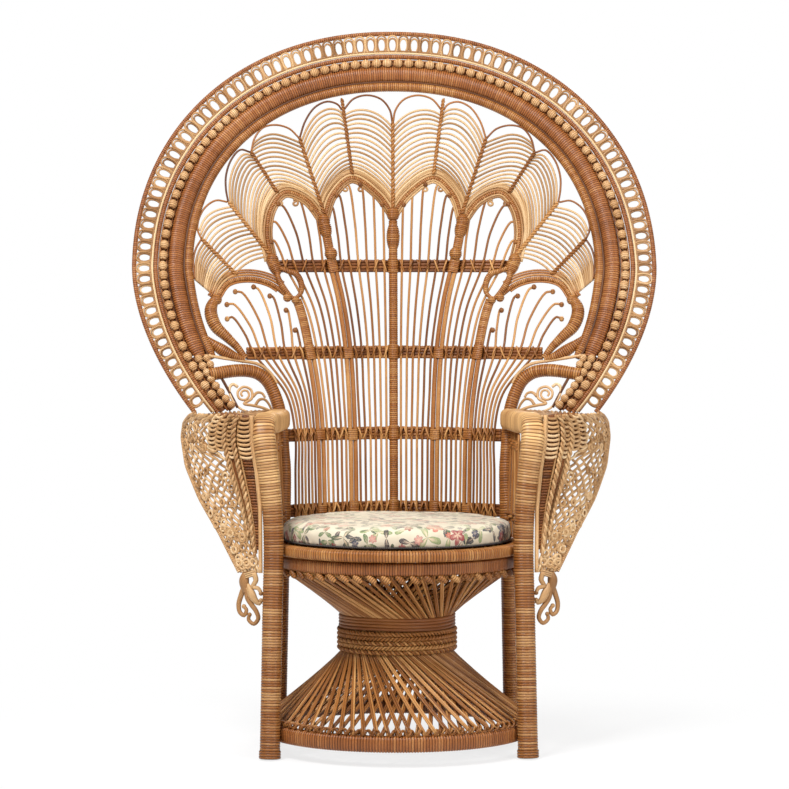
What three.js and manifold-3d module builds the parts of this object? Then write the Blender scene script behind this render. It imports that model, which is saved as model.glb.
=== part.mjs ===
// Peacock chair in woven cane: hourglass base, round seat, cape arms and a tall fan back.
// Millimetres, +Z up, the sitter faces -Y, the seat axis stands on X = 0.
import * as THREE from "three";
import { mergeVertices } from "three/addons/utils/BufferGeometryUtils.js";
import Module from "manifold-3d";

const wasm = await Module();
wasm.setup();
const { Manifold, Mesh: SolidMesh } = wasm;

// Fit between neighbouring pieces
const GAP = 0.3;

// Hourglass base
const BASE_HOOP_RADIUS = 277;
const BASE_HOOP_WIDTH = 28;
const BASE_HOOP_BOTTOM = 30;
const BASE_HOOP_HEIGHT = 33;
const WAIST_RADIUS = 117;
const WAIST_BOTTOM = 198;
const BRAID_HEIGHT = 56;
const BINDING_HEIGHT = 14;
const STRAND_COUNT = 18;
const STRAND_RADIUS = 3.5;
const STRAND_TWIST = 31;
const LAYER_STEP = 12.5;

// Seat
const SEAT_HEIGHT = 420;
const SEAT_HOOP_RADIUS = 258;
const SEAT_HOOP_WIDTH = 32;
const SEAT_HOOP_HEIGHT = 23;
const APRON_SET_IN = 11;
const APRON_RADIUS = SEAT_HOOP_RADIUS - APRON_SET_IN;
const APRON_WIDTH = 26;
const APRON_HEIGHT = 27;
const DECK_THICKNESS = 12;
const SEAT_BAR_RADIUS = 9;
const SEAT_BAR_SPREAD = 90;
const CUSHION_SET_IN = 27;
const CUSHION_RADIUS = SEAT_HOOP_RADIUS - CUSHION_SET_IN;
const CUSHION_HEIGHT = 38;
const CUSHION_CROWN = 7;
const PIPING_RADIUS = 3;

// Legs and arm rails
const FRONT_LEG_RADIUS = 20;
const FRONT_LEG_SEAT_ANGLE = -27;
const FRONT_LEG_BASE_ANGLE = -31;
const REAR_LEG_RADIUS = 18;
const REAR_LEG_SEAT_ANGLE = 31.4;
const REAR_LEG_BASE_ANGLE = 34;
const SHOULDER_RADIUS = 12;
const ARM_HEIGHT = 681;
const ARM_RAIL_RADIUS = 22;
const ARM_BEND = 56;
const ARM_FRONT_HALF = 34;
const ARM_FRONT_SHIFT = 12;
const SIDE_SPOKES = 4;
const SIDE_SPOKE_FRONT = 67;
const SIDE_SPOKE_REAR = 58;
const SIDE_BAND_RISE = 41;
const SIDE_BAND_DROP = 20;

// Back shell: how far behind the seat axis, how it leans, wraps the sitter and opens upward
const BACK_SET_IN = 8;
const BACK_REACH = SEAT_HOOP_RADIUS - BACK_SET_IN;
const BACK_LEAN = 0.13;
const BACK_WRAP = 185;
const BACK_OPENING = 380;
const BACK_WINGS = 180;

// Back ribs, spokes and woven bands
const RIB_RADIUS = 9.5;
const SPOKE_RADIUS = 3;
const SPOKES_PER_BAY = [5, 4, 3];
const FULL_STATIONS = [469, 625, 796, 906, 979];
const SIDE_STATIONS = [469, 625, 683, 742, 796];
const BAND_LEVELS = [469, 625, 796, 979];
const BAND_TALL = 26;
const BAND_DEEP = 10;

// Fan border and feathers
const ARCH_RADIUS = 8;
const KNOT_RADIUS = 13;
const ROD_RADIUS = 3;
const SPINE_RADIUS = 3.4;
const FEATHER_STRANDS = 4;
const FEATHER_STRAND_RADIUS = 2.2;
const LOBE_BULGE = 0.38;

// Halo round the back: outer outline and the radial build-up of its layers
const HALO_TOP = 1482;
const HALO_CENTRE = 980;
const HALO_HALF_WIDTH = 542;
const HALO_SQUARENESS = 2.15;
const HALO_DRAW_IN = 130;
const HALO_DRAW_RISE = 2;
const HALO_DRAW_DEPTH = HALO_CENTRE - ARM_HEIGHT - HALO_DRAW_RISE;
const HALO_DRAW_POWER = 1.83;
const OUTER_HOOP_RADIUS = 4.5;
const LACE_WIDTH = 36;
const LACE_THICKNESS = 5;
const MIDDLE_HOOP_WIDTH = 15;
const MIDDLE_HOOP_DEPTH = 9;
const BEAD_RADIUS = 8;
const HALO_STATIONS = 38;
const WIDE_BAND_WIDTH = 32;
const WIDE_BAND_DEPTH = 14;
const INNER_HOOP_RADIUS = 10.5;
const WIDE_BAND_END = 778;
const INNER_HOOP_END = 790;

// Cape arms
const CAPE_BOTTOM = 367;
const CAPE_THICKNESS = 6;
const CAPE_EDGE_RADIUS = 5;
const CAPE_COLUMNS = 4;
const CAPE_ROWS = 5;
const ARM_TOP_THICKNESS = 7;
const TASSEL_DROP = 105;
const TASSEL_SPREAD = 16;
const CURL_RADIUS = 5;
const CAPE_CLEARANCE = 7;
const CAPE_OVERHANG = 34;
const CAPE_BOW = [0.728, 0.151];
const ARM_TOP_LIP = 4;
const ARM_TOP_BACK = 26;
const SCROLL_RADIUS = 4;
const SCROLL_CLEARANCE = 3;
const SCROLL_POINTS = 17;
const SCROLL_TURN = 31;

// Easing of box sections and the play of rings round their strands
const HOOP_EASE = 4;
const APRON_EASE = 3;
const STRAND_PLAY = 0.7;
const BRAID_PROUD = 4;
const BINDING_THICKNESS = 6;
const WAIST_HOOP_WIDTH = 10;
const WAIST_LEAD = 3;
const STRAND_SET_IN = 2;

// Radial build-up of the halo, from its outer edge inward
const laceStart = 2 * OUTER_HOOP_RADIUS + GAP;
const middleCentre = laceStart + LACE_WIDTH + GAP + MIDDLE_HOOP_WIDTH / 2;
const beadCentre = middleCentre + MIDDLE_HOOP_WIDTH / 2 + GAP + BEAD_RADIUS;
const wideCentre = beadCentre + BEAD_RADIUS + GAP + WIDE_BAND_WIDTH / 2;
const innerCentre = wideCentre + WIDE_BAND_WIDTH / 2 + GAP + INNER_HOOP_RADIUS;
const haloBuild = innerCentre + INNER_HOOP_RADIUS;
const haloFoot = ARM_HEIGHT + GAP;

const HOOP_SEGMENTS = 36;
const WAIST_SEGMENTS = 24;
const CUSHION_SEGMENTS = 32;
const FRONT = new THREE.Vector3(0, -1, 0);
const UP = new THREE.Vector3(0, 0, 1);
const radians = THREE.MathUtils.degToRad;
const lerp = THREE.MathUtils.lerp;

// Shape helpers
const polar = (radius, angle, z) => new THREE.Vector3(radius * Math.cos(angle), radius * Math.sin(angle), z);

const round = (radius, sides) => Array.from({ length: sides }, (_, k) => {
  const angle = (2 * Math.PI * (k + (sides % 4 === 0 ? 0 : 0.5))) / sides;
  return [radius * Math.cos(angle), radius * Math.sin(angle)];
});

const slab = (deep, tall) => {
  const [d, t] = [deep / 2, tall / 2];
  return [[d, t], [-d, t], [-d, -t], [d, -t]];
};

const oval = (deep, tall, sides) => round(1, sides).map(([d, t]) => [(d * deep) / 2, (t * tall) / 2]);

function outward(geometry) {
  const bare = geometry.clone();
  bare.deleteAttribute("normal");
  bare.deleteAttribute("uv");
  const whole = mergeVertices(bare, 1e-4);
  const place = whole.attributes.position;
  const index = whole.index.array;
  const [a, b, c] = [new THREE.Vector3(), new THREE.Vector3(), new THREE.Vector3()];
  let volume = 0;
  for (let i = 0; i < index.length; i += 3) {
    a.fromBufferAttribute(place, index[i]);
    b.fromBufferAttribute(place, index[i + 1]);
    c.fromBufferAttribute(place, index[i + 2]);
    volume += a.dot(b.cross(c));
  }
  if (volume < 0) {
    for (let i = 0; i < index.length; i += 3) {
      [index[i], index[i + 1]] = [index[i + 1], index[i]];
    }
  }
  whole.computeVertexNormals();
  return whole;
}

// A loft of one section along a path of points, closed by flat ends; face says which way the section looks
function sweep(path, sectionAt, fit = {}) {
  const last = path.length - 1;
  const ahead = (i) => path[Math.min(i + 1, last)].clone();
  const along = path.map((_, i) => ahead(i).sub(path[Math.max(i - 1, 0)]).normalize());
  if (fit.start) along[0] = fit.start.clone().normalize();
  if (fit.end) along[last] = fit.end.clone().normalize();
  const normal = (fit.ref ?? FRONT).clone();
  const positions = [];
  let sides = 0;
  path.forEach((point, i) => {
    if (fit.face) normal.copy(fit.face(point));
    normal.addScaledVector(along[i], -normal.dot(along[i])).normalize();
    const across = along[i].clone().cross(normal);
    const section = sectionAt(i / last);
    sides = section.length;
    section.forEach(([n, s]) => {
      const spot = point.clone().addScaledVector(normal, n).addScaledVector(across, s);
      positions.push(spot.x, spot.y, spot.z);
    });
  });
  const faces = [];
  for (let i = 0; i < last; i += 1) {
    for (let k = 0; k < sides; k += 1) {
      const [p, q] = [i * sides + k, i * sides + ((k + 1) % sides)];
      faces.push(p, q, q + sides, p, q + sides, p + sides);
    }
  }
  for (let k = 1; k < sides - 1; k += 1) {
    const top = last * sides;
    faces.push(0, k + 1, k, top, top + k, top + k + 1);
  }
  const geometry = new THREE.BufferGeometry();
  geometry.setAttribute("position", new THREE.Float32BufferAttribute(positions, 3));
  geometry.setIndex(faces);
  return outward(geometry);
}

function rod(path, radius, sides, fit) {
  const at = typeof radius === "function" ? radius : () => radius;
  return sweep(path, (u) => round(at(u), sides), fit);
}

function ring(profile, segments = HOOP_SEGMENTS) {
  const points = [...profile, profile[0]].map(([r, z]) => new THREE.Vector2(r, z));
  return outward(new THREE.LatheGeometry(points, segments).rotateX(Math.PI / 2));
}

function toSolid(geometry) {
  const whole = outward(geometry);
  return new Manifold(new SolidMesh({
    numProp: 3,
    vertProperties: new Float32Array(whole.attributes.position.array),
    triVerts: new Uint32Array(whole.index.array),
  }));
}

const fuse = (geometries) => toGeometry(Manifold.union(geometries.map(toSolid)));

const cut = (geometry, tools) => toGeometry(toSolid(geometry).subtract(Manifold.union(tools.map(toSolid))));

function toGeometry(solid) {
  const mesh = solid.getMesh();
  const geometry = new THREE.BufferGeometry();
  geometry.setAttribute("position", new THREE.Float32BufferAttribute(mesh.vertProperties, 3));
  geometry.setIndex(Array.from(mesh.triVerts));
  return outward(geometry);
}

// A net of cells on a curved wall: each cell has one opening, place lifts cell units and depth into space
function net(columns, rows, thickness, opening, place) {
  const positions = [];
  const wall = (a, b) => {
    const [a0, a1] = [-1, 1].map((way) => place(...a, (way * thickness) / 2));
    const [b0, b1] = [-1, 1].map((way) => place(...b, (way * thickness) / 2));
    positions.push(...a0, ...b0, ...b1, ...a0, ...b1, ...a1);
  };
  const face = (corners) => [-1, 1].forEach((way) => {
    const order = way > 0 ? corners : [...corners].reverse();
    order.forEach((corner) => positions.push(...place(...corner, (way * thickness) / 2)));
  });
  for (let i = 0; i < columns; i += 1) {
    for (let j = 0; j < rows; j += 1) {
      const outer = [[i, j], [i + 1, j], [i + 1, j + 1], [i, j + 1]];
      const inner = opening.map(([x, y]) => [i + x, j + y]);
      outer.forEach((corner, k) => {
        const next = (k + 1) % 4;
        face([corner, outer[next], inner[k]]);
        face([outer[next], inner[next], inner[k]]);
        wall(inner[next], inner[k]);
      });
    }
  }
  for (let i = 0; i < columns; i += 1) {
    wall([i, 0], [i + 1, 0]);
    wall([i + 1, rows], [i, rows]);
  }
  for (let j = 0; j < rows; j += 1) {
    wall([columns, j], [columns, j + 1]);
    wall([0, j + 1], [0, j]);
  }
  const geometry = new THREE.BufferGeometry();
  geometry.setAttribute("position", new THREE.Float32BufferAttribute(positions, 3));
  return outward(geometry);
}

const mirrored = (geometry) => outward(geometry.clone().scale(-1, 1, 1));

// The back is one shell: a drawing in X and Z is lifted onto it, out counts toward the front
function backDepth(x, z) {
  const rise = Math.max(z - SEAT_HEIGHT, 0);
  const wrap = BACK_WRAP * (1 + (rise / BACK_OPENING) ** 3);
  return BACK_REACH + BACK_LEAN * rise - BACK_WINGS * Math.tanh((x * x) / (2 * wrap * BACK_WINGS));
}

function backFace({ x, z }) {
  const slopeX = backDepth(x + 1, z) - backDepth(x - 1, z);
  const slopeZ = backDepth(x, z + 1) - backDepth(x, z - 1);
  return new THREE.Vector3(slopeX / 2, -1, slopeZ / 2).normalize();
}

function onBack(x, z, out = 0) {
  return new THREE.Vector3(x, backDepth(x, z), z).addScaledVector(backFace({ x, z }), out);
}

const flat = (points) => points.map(([x, z]) => new THREE.Vector3(x, 0, z));

const drawn = (points) => new THREE.CatmullRomCurve3(flat(points), false, "centripetal");

const lift = (points) => points.map((p) => onBack(p.x, p.z));

// A line given as height and half-width pairs, read smoothly at any height
function lineAt(pairs, z) {
  const after = pairs.findIndex(([height]) => height >= z);
  if (after === 0) return pairs[0][1];
  const high = after < 0 ? pairs.length - 1 : after;
  const [[z0, x0], [z1, x1]] = [pairs[high - 1], pairs[high]];
  return lerp(x0, x1, (z - z0) / (z1 - z0));
}

// The lines of the back are drawn on a sheet. These are its heights of the seat, the arm, the widest place
// and the inside of the halo's top, and its half-widths of the seat hoop and of the halo's inside
const SHEET_HEIGHTS = [420, 681, 980, 1351.5];
const SHEET_WIDTHS = [258, 411.5];

// Carries a height of the sheet to the sizes of the chair, span by span
function fitHeight(z) {
  const real = [SEAT_HEIGHT, ARM_HEIGHT, HALO_CENTRE, HALO_TOP - haloBuild];
  const above = SHEET_HEIGHTS.findIndex((height) => height >= z);
  const high = above < 0 ? real.length - 1 : Math.max(above, 1);
  const [from, to] = [SHEET_HEIGHTS[high - 1], SHEET_HEIGHTS[high]];
  return lerp(real[high - 1], real[high], (z - from) / (to - from));
}

// Carries a half-width of the sheet: low lines follow the seat hoop, lines above the arm follow the halo
function fitHalf(x, z) {
  const [seat, arm] = SHEET_HEIGHTS;
  const share = THREE.MathUtils.clamp((z - seat) / (arm - seat), 0, 1);
  const atSeat = SEAT_HOOP_RADIUS / SHEET_WIDTHS[0];
  const atHalo = (HALO_HALF_WIDTH - haloBuild) / SHEET_WIDTHS[1];
  return x * lerp(atSeat, atHalo, share);
}

const fitted = (points) => points.map(([x, z]) => [fitHalf(x, z), fitHeight(z)]);
const fittedPairs = (pairs) => pairs.map(([z, x]) => [fitHeight(z), fitHalf(x, z)]);

const bandLevels = BAND_LEVELS.map(fitHeight);
const spokeStations = [FULL_STATIONS, FULL_STATIONS, SIDE_STATIONS].map((levels) => levels.map(fitHeight));

// Ribs from the centre outward, and the outer edge of the last bay, as height and half-width pairs
const CENTRE_RIB = [[420, 0], [1075, 0]];
const INNER_RIB = [[420, 84], [625, 87], [796, 96], [906, 112], [979, 129], [1061, 145]];
const OUTER_RIB = [[420, 150], [625, 155], [696, 161], [796, 177], [906, 205], [975, 249]];
const BAY_EDGE = [
  [420, 210], [625, 211], [683, 221], [742, 243], [772, 268], [796, 303], [850, 340], [905, 362],
];
const ribLines = [CENTRE_RIB, INNER_RIB, OUTER_RIB].map(fittedPairs);
const bayEdge = fittedPairs(BAY_EDGE);

// Cusps where the fan border meets the ribs, and the arches between them
const CUSP_CENTRE = [0, 1088];
const CUSP_INNER = [148, 1073];
const CUSP_OUTER = [257, 989];
const INNER_ARCH = [[32, 1131], [88, 1166], [130, 1128]];
const OUTER_ARCH = [[184, 1118], [230, 1134], [259, 1100], [268, 1046]];
const SIDE_ARCH = [[222, 912], [262, 941], [308, 951], [350, 941], [374, 906]];
const SIDE_STILE = [[362, 868], [338, 830], [311, 798], [300, 768]];
const cusps = fitted([CUSP_CENTRE, CUSP_INNER, CUSP_OUTER]);
const arches = [
  fitted([CUSP_CENTRE, ...INNER_ARCH, CUSP_INNER]),
  fitted([CUSP_INNER, ...OUTER_ARCH, CUSP_OUTER]),
];
const sideArchLine = fitted(SIDE_ARCH);
const sideStile = fitted(SIDE_STILE);

// Rear pole above the seat, rising to the shoulder and turning over to the halo
const SHOULDER_LINE = [[231, 560], [237, 650], [243, 690], [266, 742], [290, 760], [325, 764], [366, 759]];
const shoulderLine = fitted(SHOULDER_LINE);

// Place on the shoulder above the middle of the scroll
const SCROLL_TOP = [300, 763];

// Feather lines from bottom to top: each valley rises from a cusp, the last one runs beside the halo
const VALLEY_TOPS = [[0, 1311], [200, 1256], [345, 1119]];
const VALLEY_STARTS = [0.19, 0.31, 0.39];
const LAST_VALLEY = [[411, 948], [417, 1006]];
const INNER_SPINE = [[90, 1186], [103, 1325]];
const MIDDLE_SPINE = [[262, 1154], [305, 1217]];
const OUTER_SPINE = [[338, 974], [392, 1066]];
const valleys = fitted(VALLEY_TOPS).map((top, k) => {
  const start = VALLEY_STARTS[k];
  return [[lerp(cusps[k][0], top[0], start), lerp(cusps[k][1], top[1], start)], top];
});
valleys.push(fitted(LAST_VALLEY));
const spines = [INNER_SPINE, MIDDLE_SPINE, OUTER_SPINE].map(fitted);

// Cape outline as height and half-width pairs, drawn between the foot and top of the cape and between
// the side of the front leg and the cape's end behind the halo
const CAPE_SHEET_HEIGHTS = [367, 681];
const CAPE_SHEET_WIDTHS = [275, 444];
const CAPE_EDGE = [[367, 316], [444, 357], [506, 397], [570, 428], [626, 438], [681, 426]];

// Rings of the base and the seat
const apronTop = SEAT_HEIGHT - SEAT_HOOP_HEIGHT - GAP;
const apronBottom = apronTop - APRON_HEIGHT;
const baseTop = BASE_HOOP_BOTTOM + BASE_HOOP_HEIGHT;
const braidTop = WAIST_BOTTOM + BRAID_HEIGHT;
const waistTop = braidTop + BINDING_HEIGHT + WAIST_LEAD;

function boxRing(outer, width, bottom, height, ease) {
  const [inner, eased] = [outer - width, outer - ease];
  const top = bottom + height;
  return ring([[inner, bottom], [eased, bottom], [outer, (bottom + top) / 2], [eased, top], [inner, top]]);
}

const seatHoopBottom = apronTop + GAP;

function baseHoop() {
  return boxRing(BASE_HOOP_RADIUS, BASE_HOOP_WIDTH, BASE_HOOP_BOTTOM, BASE_HOOP_HEIGHT, HOOP_EASE);
}

function seatHoop() {
  return boxRing(SEAT_HOOP_RADIUS, SEAT_HOOP_WIDTH, seatHoopBottom, SEAT_HOOP_HEIGHT, HOOP_EASE);
}

const apron = () => boxRing(APRON_RADIUS, APRON_WIDTH, apronBottom, APRON_HEIGHT, APRON_EASE);

// One layer of strands, twisted one way, running from the base through the waist to the apron
function strandLayer(inset, turn, carrier) {
  const twist = radians(STRAND_TWIST) * turn;
  const reach = STRAND_RADIUS + STRAND_SET_IN;
  const base = BASE_HOOP_RADIUS - reach - HOOP_EASE - inset;
  const waist = WAIST_RADIUS - inset;
  const top = APRON_RADIUS - reach - APRON_EASE - inset;
  const strands = Array.from({ length: STRAND_COUNT }, (_, k) => {
    const angle = (2 * Math.PI * (k + 0.25 + 0.25 * turn)) / STRAND_COUNT;
    const path = [
      polar(base, angle + twist, baseTop + GAP),
      polar(waist, angle, WAIST_BOTTOM),
      polar(waist, angle, waistTop),
      polar(top, angle - twist, apronBottom - GAP),
    ];
    return rod(path, STRAND_RADIUS, 3, { start: UP, end: UP, ref: polar(1, angle, 0) });
  });
  return fuse([carrier, ...strands]);
}

function wallRing(inner, outer, bottom, top) {
  return ring([[inner, bottom], [outer, bottom], [outer, top], [inner, top]], WAIST_SEGMENTS);
}

function outerStrands() {
  const inner = WAIST_RADIUS - STRAND_RADIUS - STRAND_PLAY;
  const outer = WAIST_RADIUS + STRAND_RADIUS + BRAID_PROUD;
  return strandLayer(0, 1, wallRing(inner, outer, WAIST_BOTTOM, braidTop));
}

function innerStrands() {
  const outer = WAIST_RADIUS - LAYER_STEP + STRAND_RADIUS + STRAND_PLAY;
  const inner = outer - WAIST_HOOP_WIDTH;
  return strandLayer(LAYER_STEP, -1, wallRing(inner, outer, WAIST_BOTTOM, braidTop));
}

function waistBinding() {
  const inner = WAIST_RADIUS + STRAND_RADIUS + GAP;
  const [bottom, top] = [braidTop + GAP, braidTop + BINDING_HEIGHT];
  const outer = inner + BINDING_THICKNESS;
  return wallRing(inner, outer, bottom, top);
}

function seatDeck() {
  const edge = SEAT_HOOP_RADIUS - SEAT_HOOP_WIDTH - GAP;
  const under = SEAT_HEIGHT - DECK_THICKNESS;
  const points = [[0, under], [edge, under], [edge, SEAT_HEIGHT], [0, SEAT_HEIGHT]];
  const profile = points.map(([r, z]) => new THREE.Vector2(r, z));
  return outward(new THREE.LatheGeometry(profile, HOOP_SEGMENTS).rotateX(Math.PI / 2));
}

function seatBar() {
  const inside = Math.min(APRON_RADIUS - APRON_WIDTH, SEAT_HOOP_RADIUS - SEAT_HOOP_WIDTH);
  const wall = inside * Math.cos(Math.PI / HOOP_SEGMENTS) - GAP;
  const end = Math.sqrt(wall ** 2 - (SEAT_BAR_SPREAD + SEAT_BAR_RADIUS) ** 2);
  const level = SEAT_HEIGHT - DECK_THICKNESS - GAP - SEAT_BAR_RADIUS;
  const path = [-1, 1].map((way) => new THREE.Vector3(SEAT_BAR_SPREAD, way * end, level));
  return rod(path, SEAT_BAR_RADIUS, 8, { ref: UP });
}

// Loose cushion with a crown and drawn-in sides, and the cord round its lower edge
const cushionFloor = SEAT_HEIGHT + GAP;

function cushion() {
  const top = cushionFloor + CUSHION_HEIGHT;
  const waist = CUSHION_RADIUS - 2 * PIPING_RADIUS - GAP;
  const side = [
    [0, cushionFloor],
    [waist - PIPING_RADIUS, cushionFloor],
    [waist, cushionFloor + 1],
    [waist, cushionFloor + 3 * PIPING_RADIUS],
    [CUSHION_RADIUS - 1, cushionFloor + CUSHION_HEIGHT * 0.4],
    [CUSHION_RADIUS, cushionFloor + CUSHION_HEIGHT * 0.6],
    [CUSHION_RADIUS - 3, top - CUSHION_HEIGHT * 0.16],
    [CUSHION_RADIUS - 11, top],
    [CUSHION_RADIUS * 0.74, top + CUSHION_CROWN * 0.5],
    [0, top + CUSHION_CROWN],
  ];
  const profile = side.map(([r, z]) => new THREE.Vector2(r, z));
  return outward(new THREE.LatheGeometry(profile, CUSHION_SEGMENTS).rotateX(Math.PI / 2));
}

function cushionPiping() {
  const centre = CUSHION_RADIUS - PIPING_RADIUS;
  const level = cushionFloor + PIPING_RADIUS + 1;
  return ring(round(PIPING_RADIUS, 4).map(([r, z]) => [centre + r, level + z]), CUSHION_SEGMENTS);
}

// Reach of a faceted hoop at an angle round the seat axis
function hoopReach(radius, angle) {
  const step = (2 * Math.PI) / HOOP_SEGMENTS;
  const turn = THREE.MathUtils.euclideanModulo(angle, step) - step / 2;
  return (radius * Math.cos(step / 2)) / Math.cos(turn);
}

// Poles: the line of a leg that passes outside both hoops
function legLine(radius, seatAngle, baseAngle) {
  const [high, low] = [radians(seatAngle), radians(baseAngle)];
  const [seatLevel, baseLevel] = [SEAT_HEIGHT - SEAT_HOOP_HEIGHT / 2, baseTop - BASE_HOOP_HEIGHT / 2];
  const seat = polar(hoopReach(SEAT_HOOP_RADIUS, high) + radius + GAP, high, seatLevel);
  const base = polar(hoopReach(BASE_HOOP_RADIUS, low) + radius + GAP, low, baseLevel);
  const [bottom, rise] = [base.z, seat.z - base.z];
  return (z) => base.clone().lerp(seat, (z - bottom) / rise);
}

const railLevel = ARM_HEIGHT - ARM_RAIL_RADIUS;

const { smoothstep } = THREE.MathUtils;
const rearLeg = legLine(REAR_LEG_RADIUS, REAR_LEG_SEAT_ANGLE, REAR_LEG_BASE_ANGLE);
const frontLeg = legLine(FRONT_LEG_RADIUS, FRONT_LEG_SEAT_ANGLE, FRONT_LEG_BASE_ANGLE);

function rearPole(swell = 0) {
  const upper = lift(drawn(shoulderLine).getSpacedPoints(10));
  const path = [rearLeg(0), rearLeg(SEAT_HEIGHT / 2), rearLeg(SEAT_HEIGHT), ...upper];
  const slim = (u) => swell + lerp(REAR_LEG_RADIUS, SHOULDER_RADIUS, smoothstep(u, 0.15, 0.25));
  return rod(path, slim, 8, { start: UP, ref: polar(1, radians(REAR_LEG_SEAT_ANGLE), 0) });
}

// The front pole swells sideways from the seat to the knee, where it bends back into the rail
const kneeLevel = railLevel - ARM_BEND;
const postHalf = lineAt(shoulderLine.map(([x, z]) => [z, x]), railLevel);
const post = onBack(postHalf, railLevel - ARM_RAIL_RADIUS);
const knee = frontLeg(SEAT_HEIGHT).setZ(kneeLevel).add(new THREE.Vector3(ARM_FRONT_SHIFT, GAP, 0));
const railStart = new THREE.Vector3(knee.x, knee.y + ARM_BEND, railLevel);
const railEnd = new THREE.Vector3(post.x, post.y - SHOULDER_RADIUS - GAP, railLevel);
const flare = (z) => smoothstep(z, SEAT_HEIGHT, kneeLevel);
const poleHalf = (z) => lerp(FRONT_LEG_RADIUS, ARM_FRONT_HALF, flare(z));

function poleSpot(z) {
  const level = Math.min(z, SEAT_HEIGHT);
  return frontLeg(level).setZ(z).add(new THREE.Vector3(ARM_FRONT_SHIFT * flare(z), GAP * flare(z), 0));
}

function frontPole(swell = 0) {
  const corner = new THREE.Vector3(knee.x, knee.y, railLevel);
  const levels = [0, SEAT_HEIGHT / 2, ...[0, 0.25, 0.5, 0.75].map((u) => lerp(SEAT_HEIGHT, kneeLevel, u))];
  const bend = new THREE.QuadraticBezierCurve3(knee, corner, railStart).getPoints(6);
  const rail = [railStart.clone().lerp(railEnd, 0.5), railEnd];
  const path = [...levels.map(poleSpot), ...bend, ...rail];
  const swelled = [...levels, ...bend.map(() => kneeLevel)].map(poleHalf);
  const wide = [...swelled, ...rail.map(() => ARM_RAIL_RADIUS)];
  const deep = (z) => lerp(FRONT_LEG_RADIUS, ARM_RAIL_RADIUS, flare(z));
  const section = (u) => {
    const k = Math.round(u * (path.length - 1));
    return oval(2 * (wide[k] + swell), 2 * (deep(path[k].z) + swell), 8);
  };
  const ends = { start: UP, end: new THREE.Vector3(0, 1, 0), ref: new THREE.Vector3(1, 0, 0) };
  return sweep(path, section, ends);
}

// Spokes that carry the side of the seat between the front leg and the rear pole, tied by two bands
function armSide() {
  const ringRadius = SEAT_HOOP_RADIUS - SEAT_HOOP_WIDTH / 3;
  const from = frontLeg(SEAT_HEIGHT).y + SIDE_SPOKE_FRONT;
  const to = rearLeg(SEAT_HEIGHT).y - SIDE_SPOKE_REAR;
  const spots = Array.from({ length: SIDE_SPOKES }, (_, k) => lerp(from, to, k / (SIDE_SPOKES - 1)));
  const [foot, top] = [SEAT_HEIGHT + GAP, railLevel - ARM_RAIL_RADIUS - GAP];
  const beside = (y, z) => {
    const x = Math.sqrt(ringRadius ** 2 - y * y);
    const rail = lerp(railStart.x, railEnd.x, (y - railStart.y) / (railEnd.y - railStart.y));
    return new THREE.Vector3(lerp(x, rail, (z - foot) / (top - foot)), y, z);
  };
  const upright = { start: UP, end: UP };
  const spokes = spots.map((y) => rod([beside(y, foot), beside(y, top)], SPOKE_RADIUS, 3, upright));
  const bands = [SEAT_HEIGHT + SIDE_BAND_RISE, top - SIDE_BAND_DROP].map((z) => {
    const path = [from - BAND_DEEP, ...spots, to + BAND_DEEP].map((y) => beside(y, z));
    return sweep(path, () => slab(BAND_DEEP, BAND_TALL * 0.8), { ref: new THREE.Vector3(1, 0, 0) });
  });
  return fuse([...bands, ...spokes]);
}

// Ribs stand on the seat hoop and stop under the knots of the fan border
function rib(index, swell = 0) {
  const [x, z] = cusps[index];
  const line = ribLines[index].map(([height, half]) => [half, height]);
  line[0][1] += GAP;
  const tip = line[line.length - 1];
  const away = Math.hypot(tip[0] - x, tip[1] - z);
  const stop = (KNOT_RADIUS + GAP) / away;
  line[line.length - 1] = [lerp(x, tip[0], stop), lerp(z, tip[1], stop)];
  return rod(lift(drawn(line).getSpacedPoints(8)), RIB_RADIUS + swell, 6, { start: UP });
}

const bayEdges = (bay, z) => [
  lineAt(ribLines[bay], z),
  bay < 2 ? lineAt(ribLines[bay + 1], z) : lineAt(bayEdge, z),
];

function spokeAt(bay, z, share) {
  const [inner, outer] = bayEdges(bay, z);
  return lerp(inner + RIB_RADIUS, outer - (bay < 2 ? RIB_RADIUS : 0), share);
}

const archOver = (bay) => drawn(bay < 2 ? arches[bay] : sideArchLine);

// A bay between two ribs: spokes that fan out under its arch, tied by the woven bands
function backBay(bay) {
  const count = SPOKES_PER_BAY[bay];
  const arch = archOver(bay);
  const levels = bay < 2 ? bandLevels : bandLevels.slice(0, 3);
  const spokes = Array.from({ length: count }, (_, k) => {
    const share = (k + 0.5) / count;
    const high = levels[levels.length - 1];
    const points = [SEAT_HEIGHT + GAP, ...spokeStations[bay]].map((z) => [spokeAt(bay, z, share), z]);
    const tip = arch.getPointAt(0.1 + 0.8 * share);
    const heart = spokeAt(bay, high, 0.5);
    points.push([lerp(tip.x, heart, 0.2), lerp(tip.z, high, 0.2)]);
    return rod(lift(drawn(points).getSpacedPoints(7)), SPOKE_RADIUS, 3, { start: UP });
  });
  const bands = levels.map((z) => {
    const [low, high] = [bayEdges(bay, z - BAND_TALL / 2), bayEdges(bay, z + BAND_TALL / 2)];
    const margin = RIB_RADIUS + GAP + 1.5;
    const slope = Math.hypot(1, (high[1] - low[1]) / BAND_TALL);
    const from = Math.max(low[0], high[0]) + margin;
    const to = Math.min(low[1], high[1]) - (bay < 2 ? margin * slope : 0);
    const path = [0, 0.5, 1].map((share) => onBack(lerp(from, to, share), z));
    return sweep(path, () => slab(BAND_DEEP, BAND_TALL), { face: backFace });
  });
  return fuse([...bands, ...spokes]);
}

const knot = (x, z) => new THREE.OctahedronGeometry(KNOT_RADIUS, 1).translate(...onBack(x, z));

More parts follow.
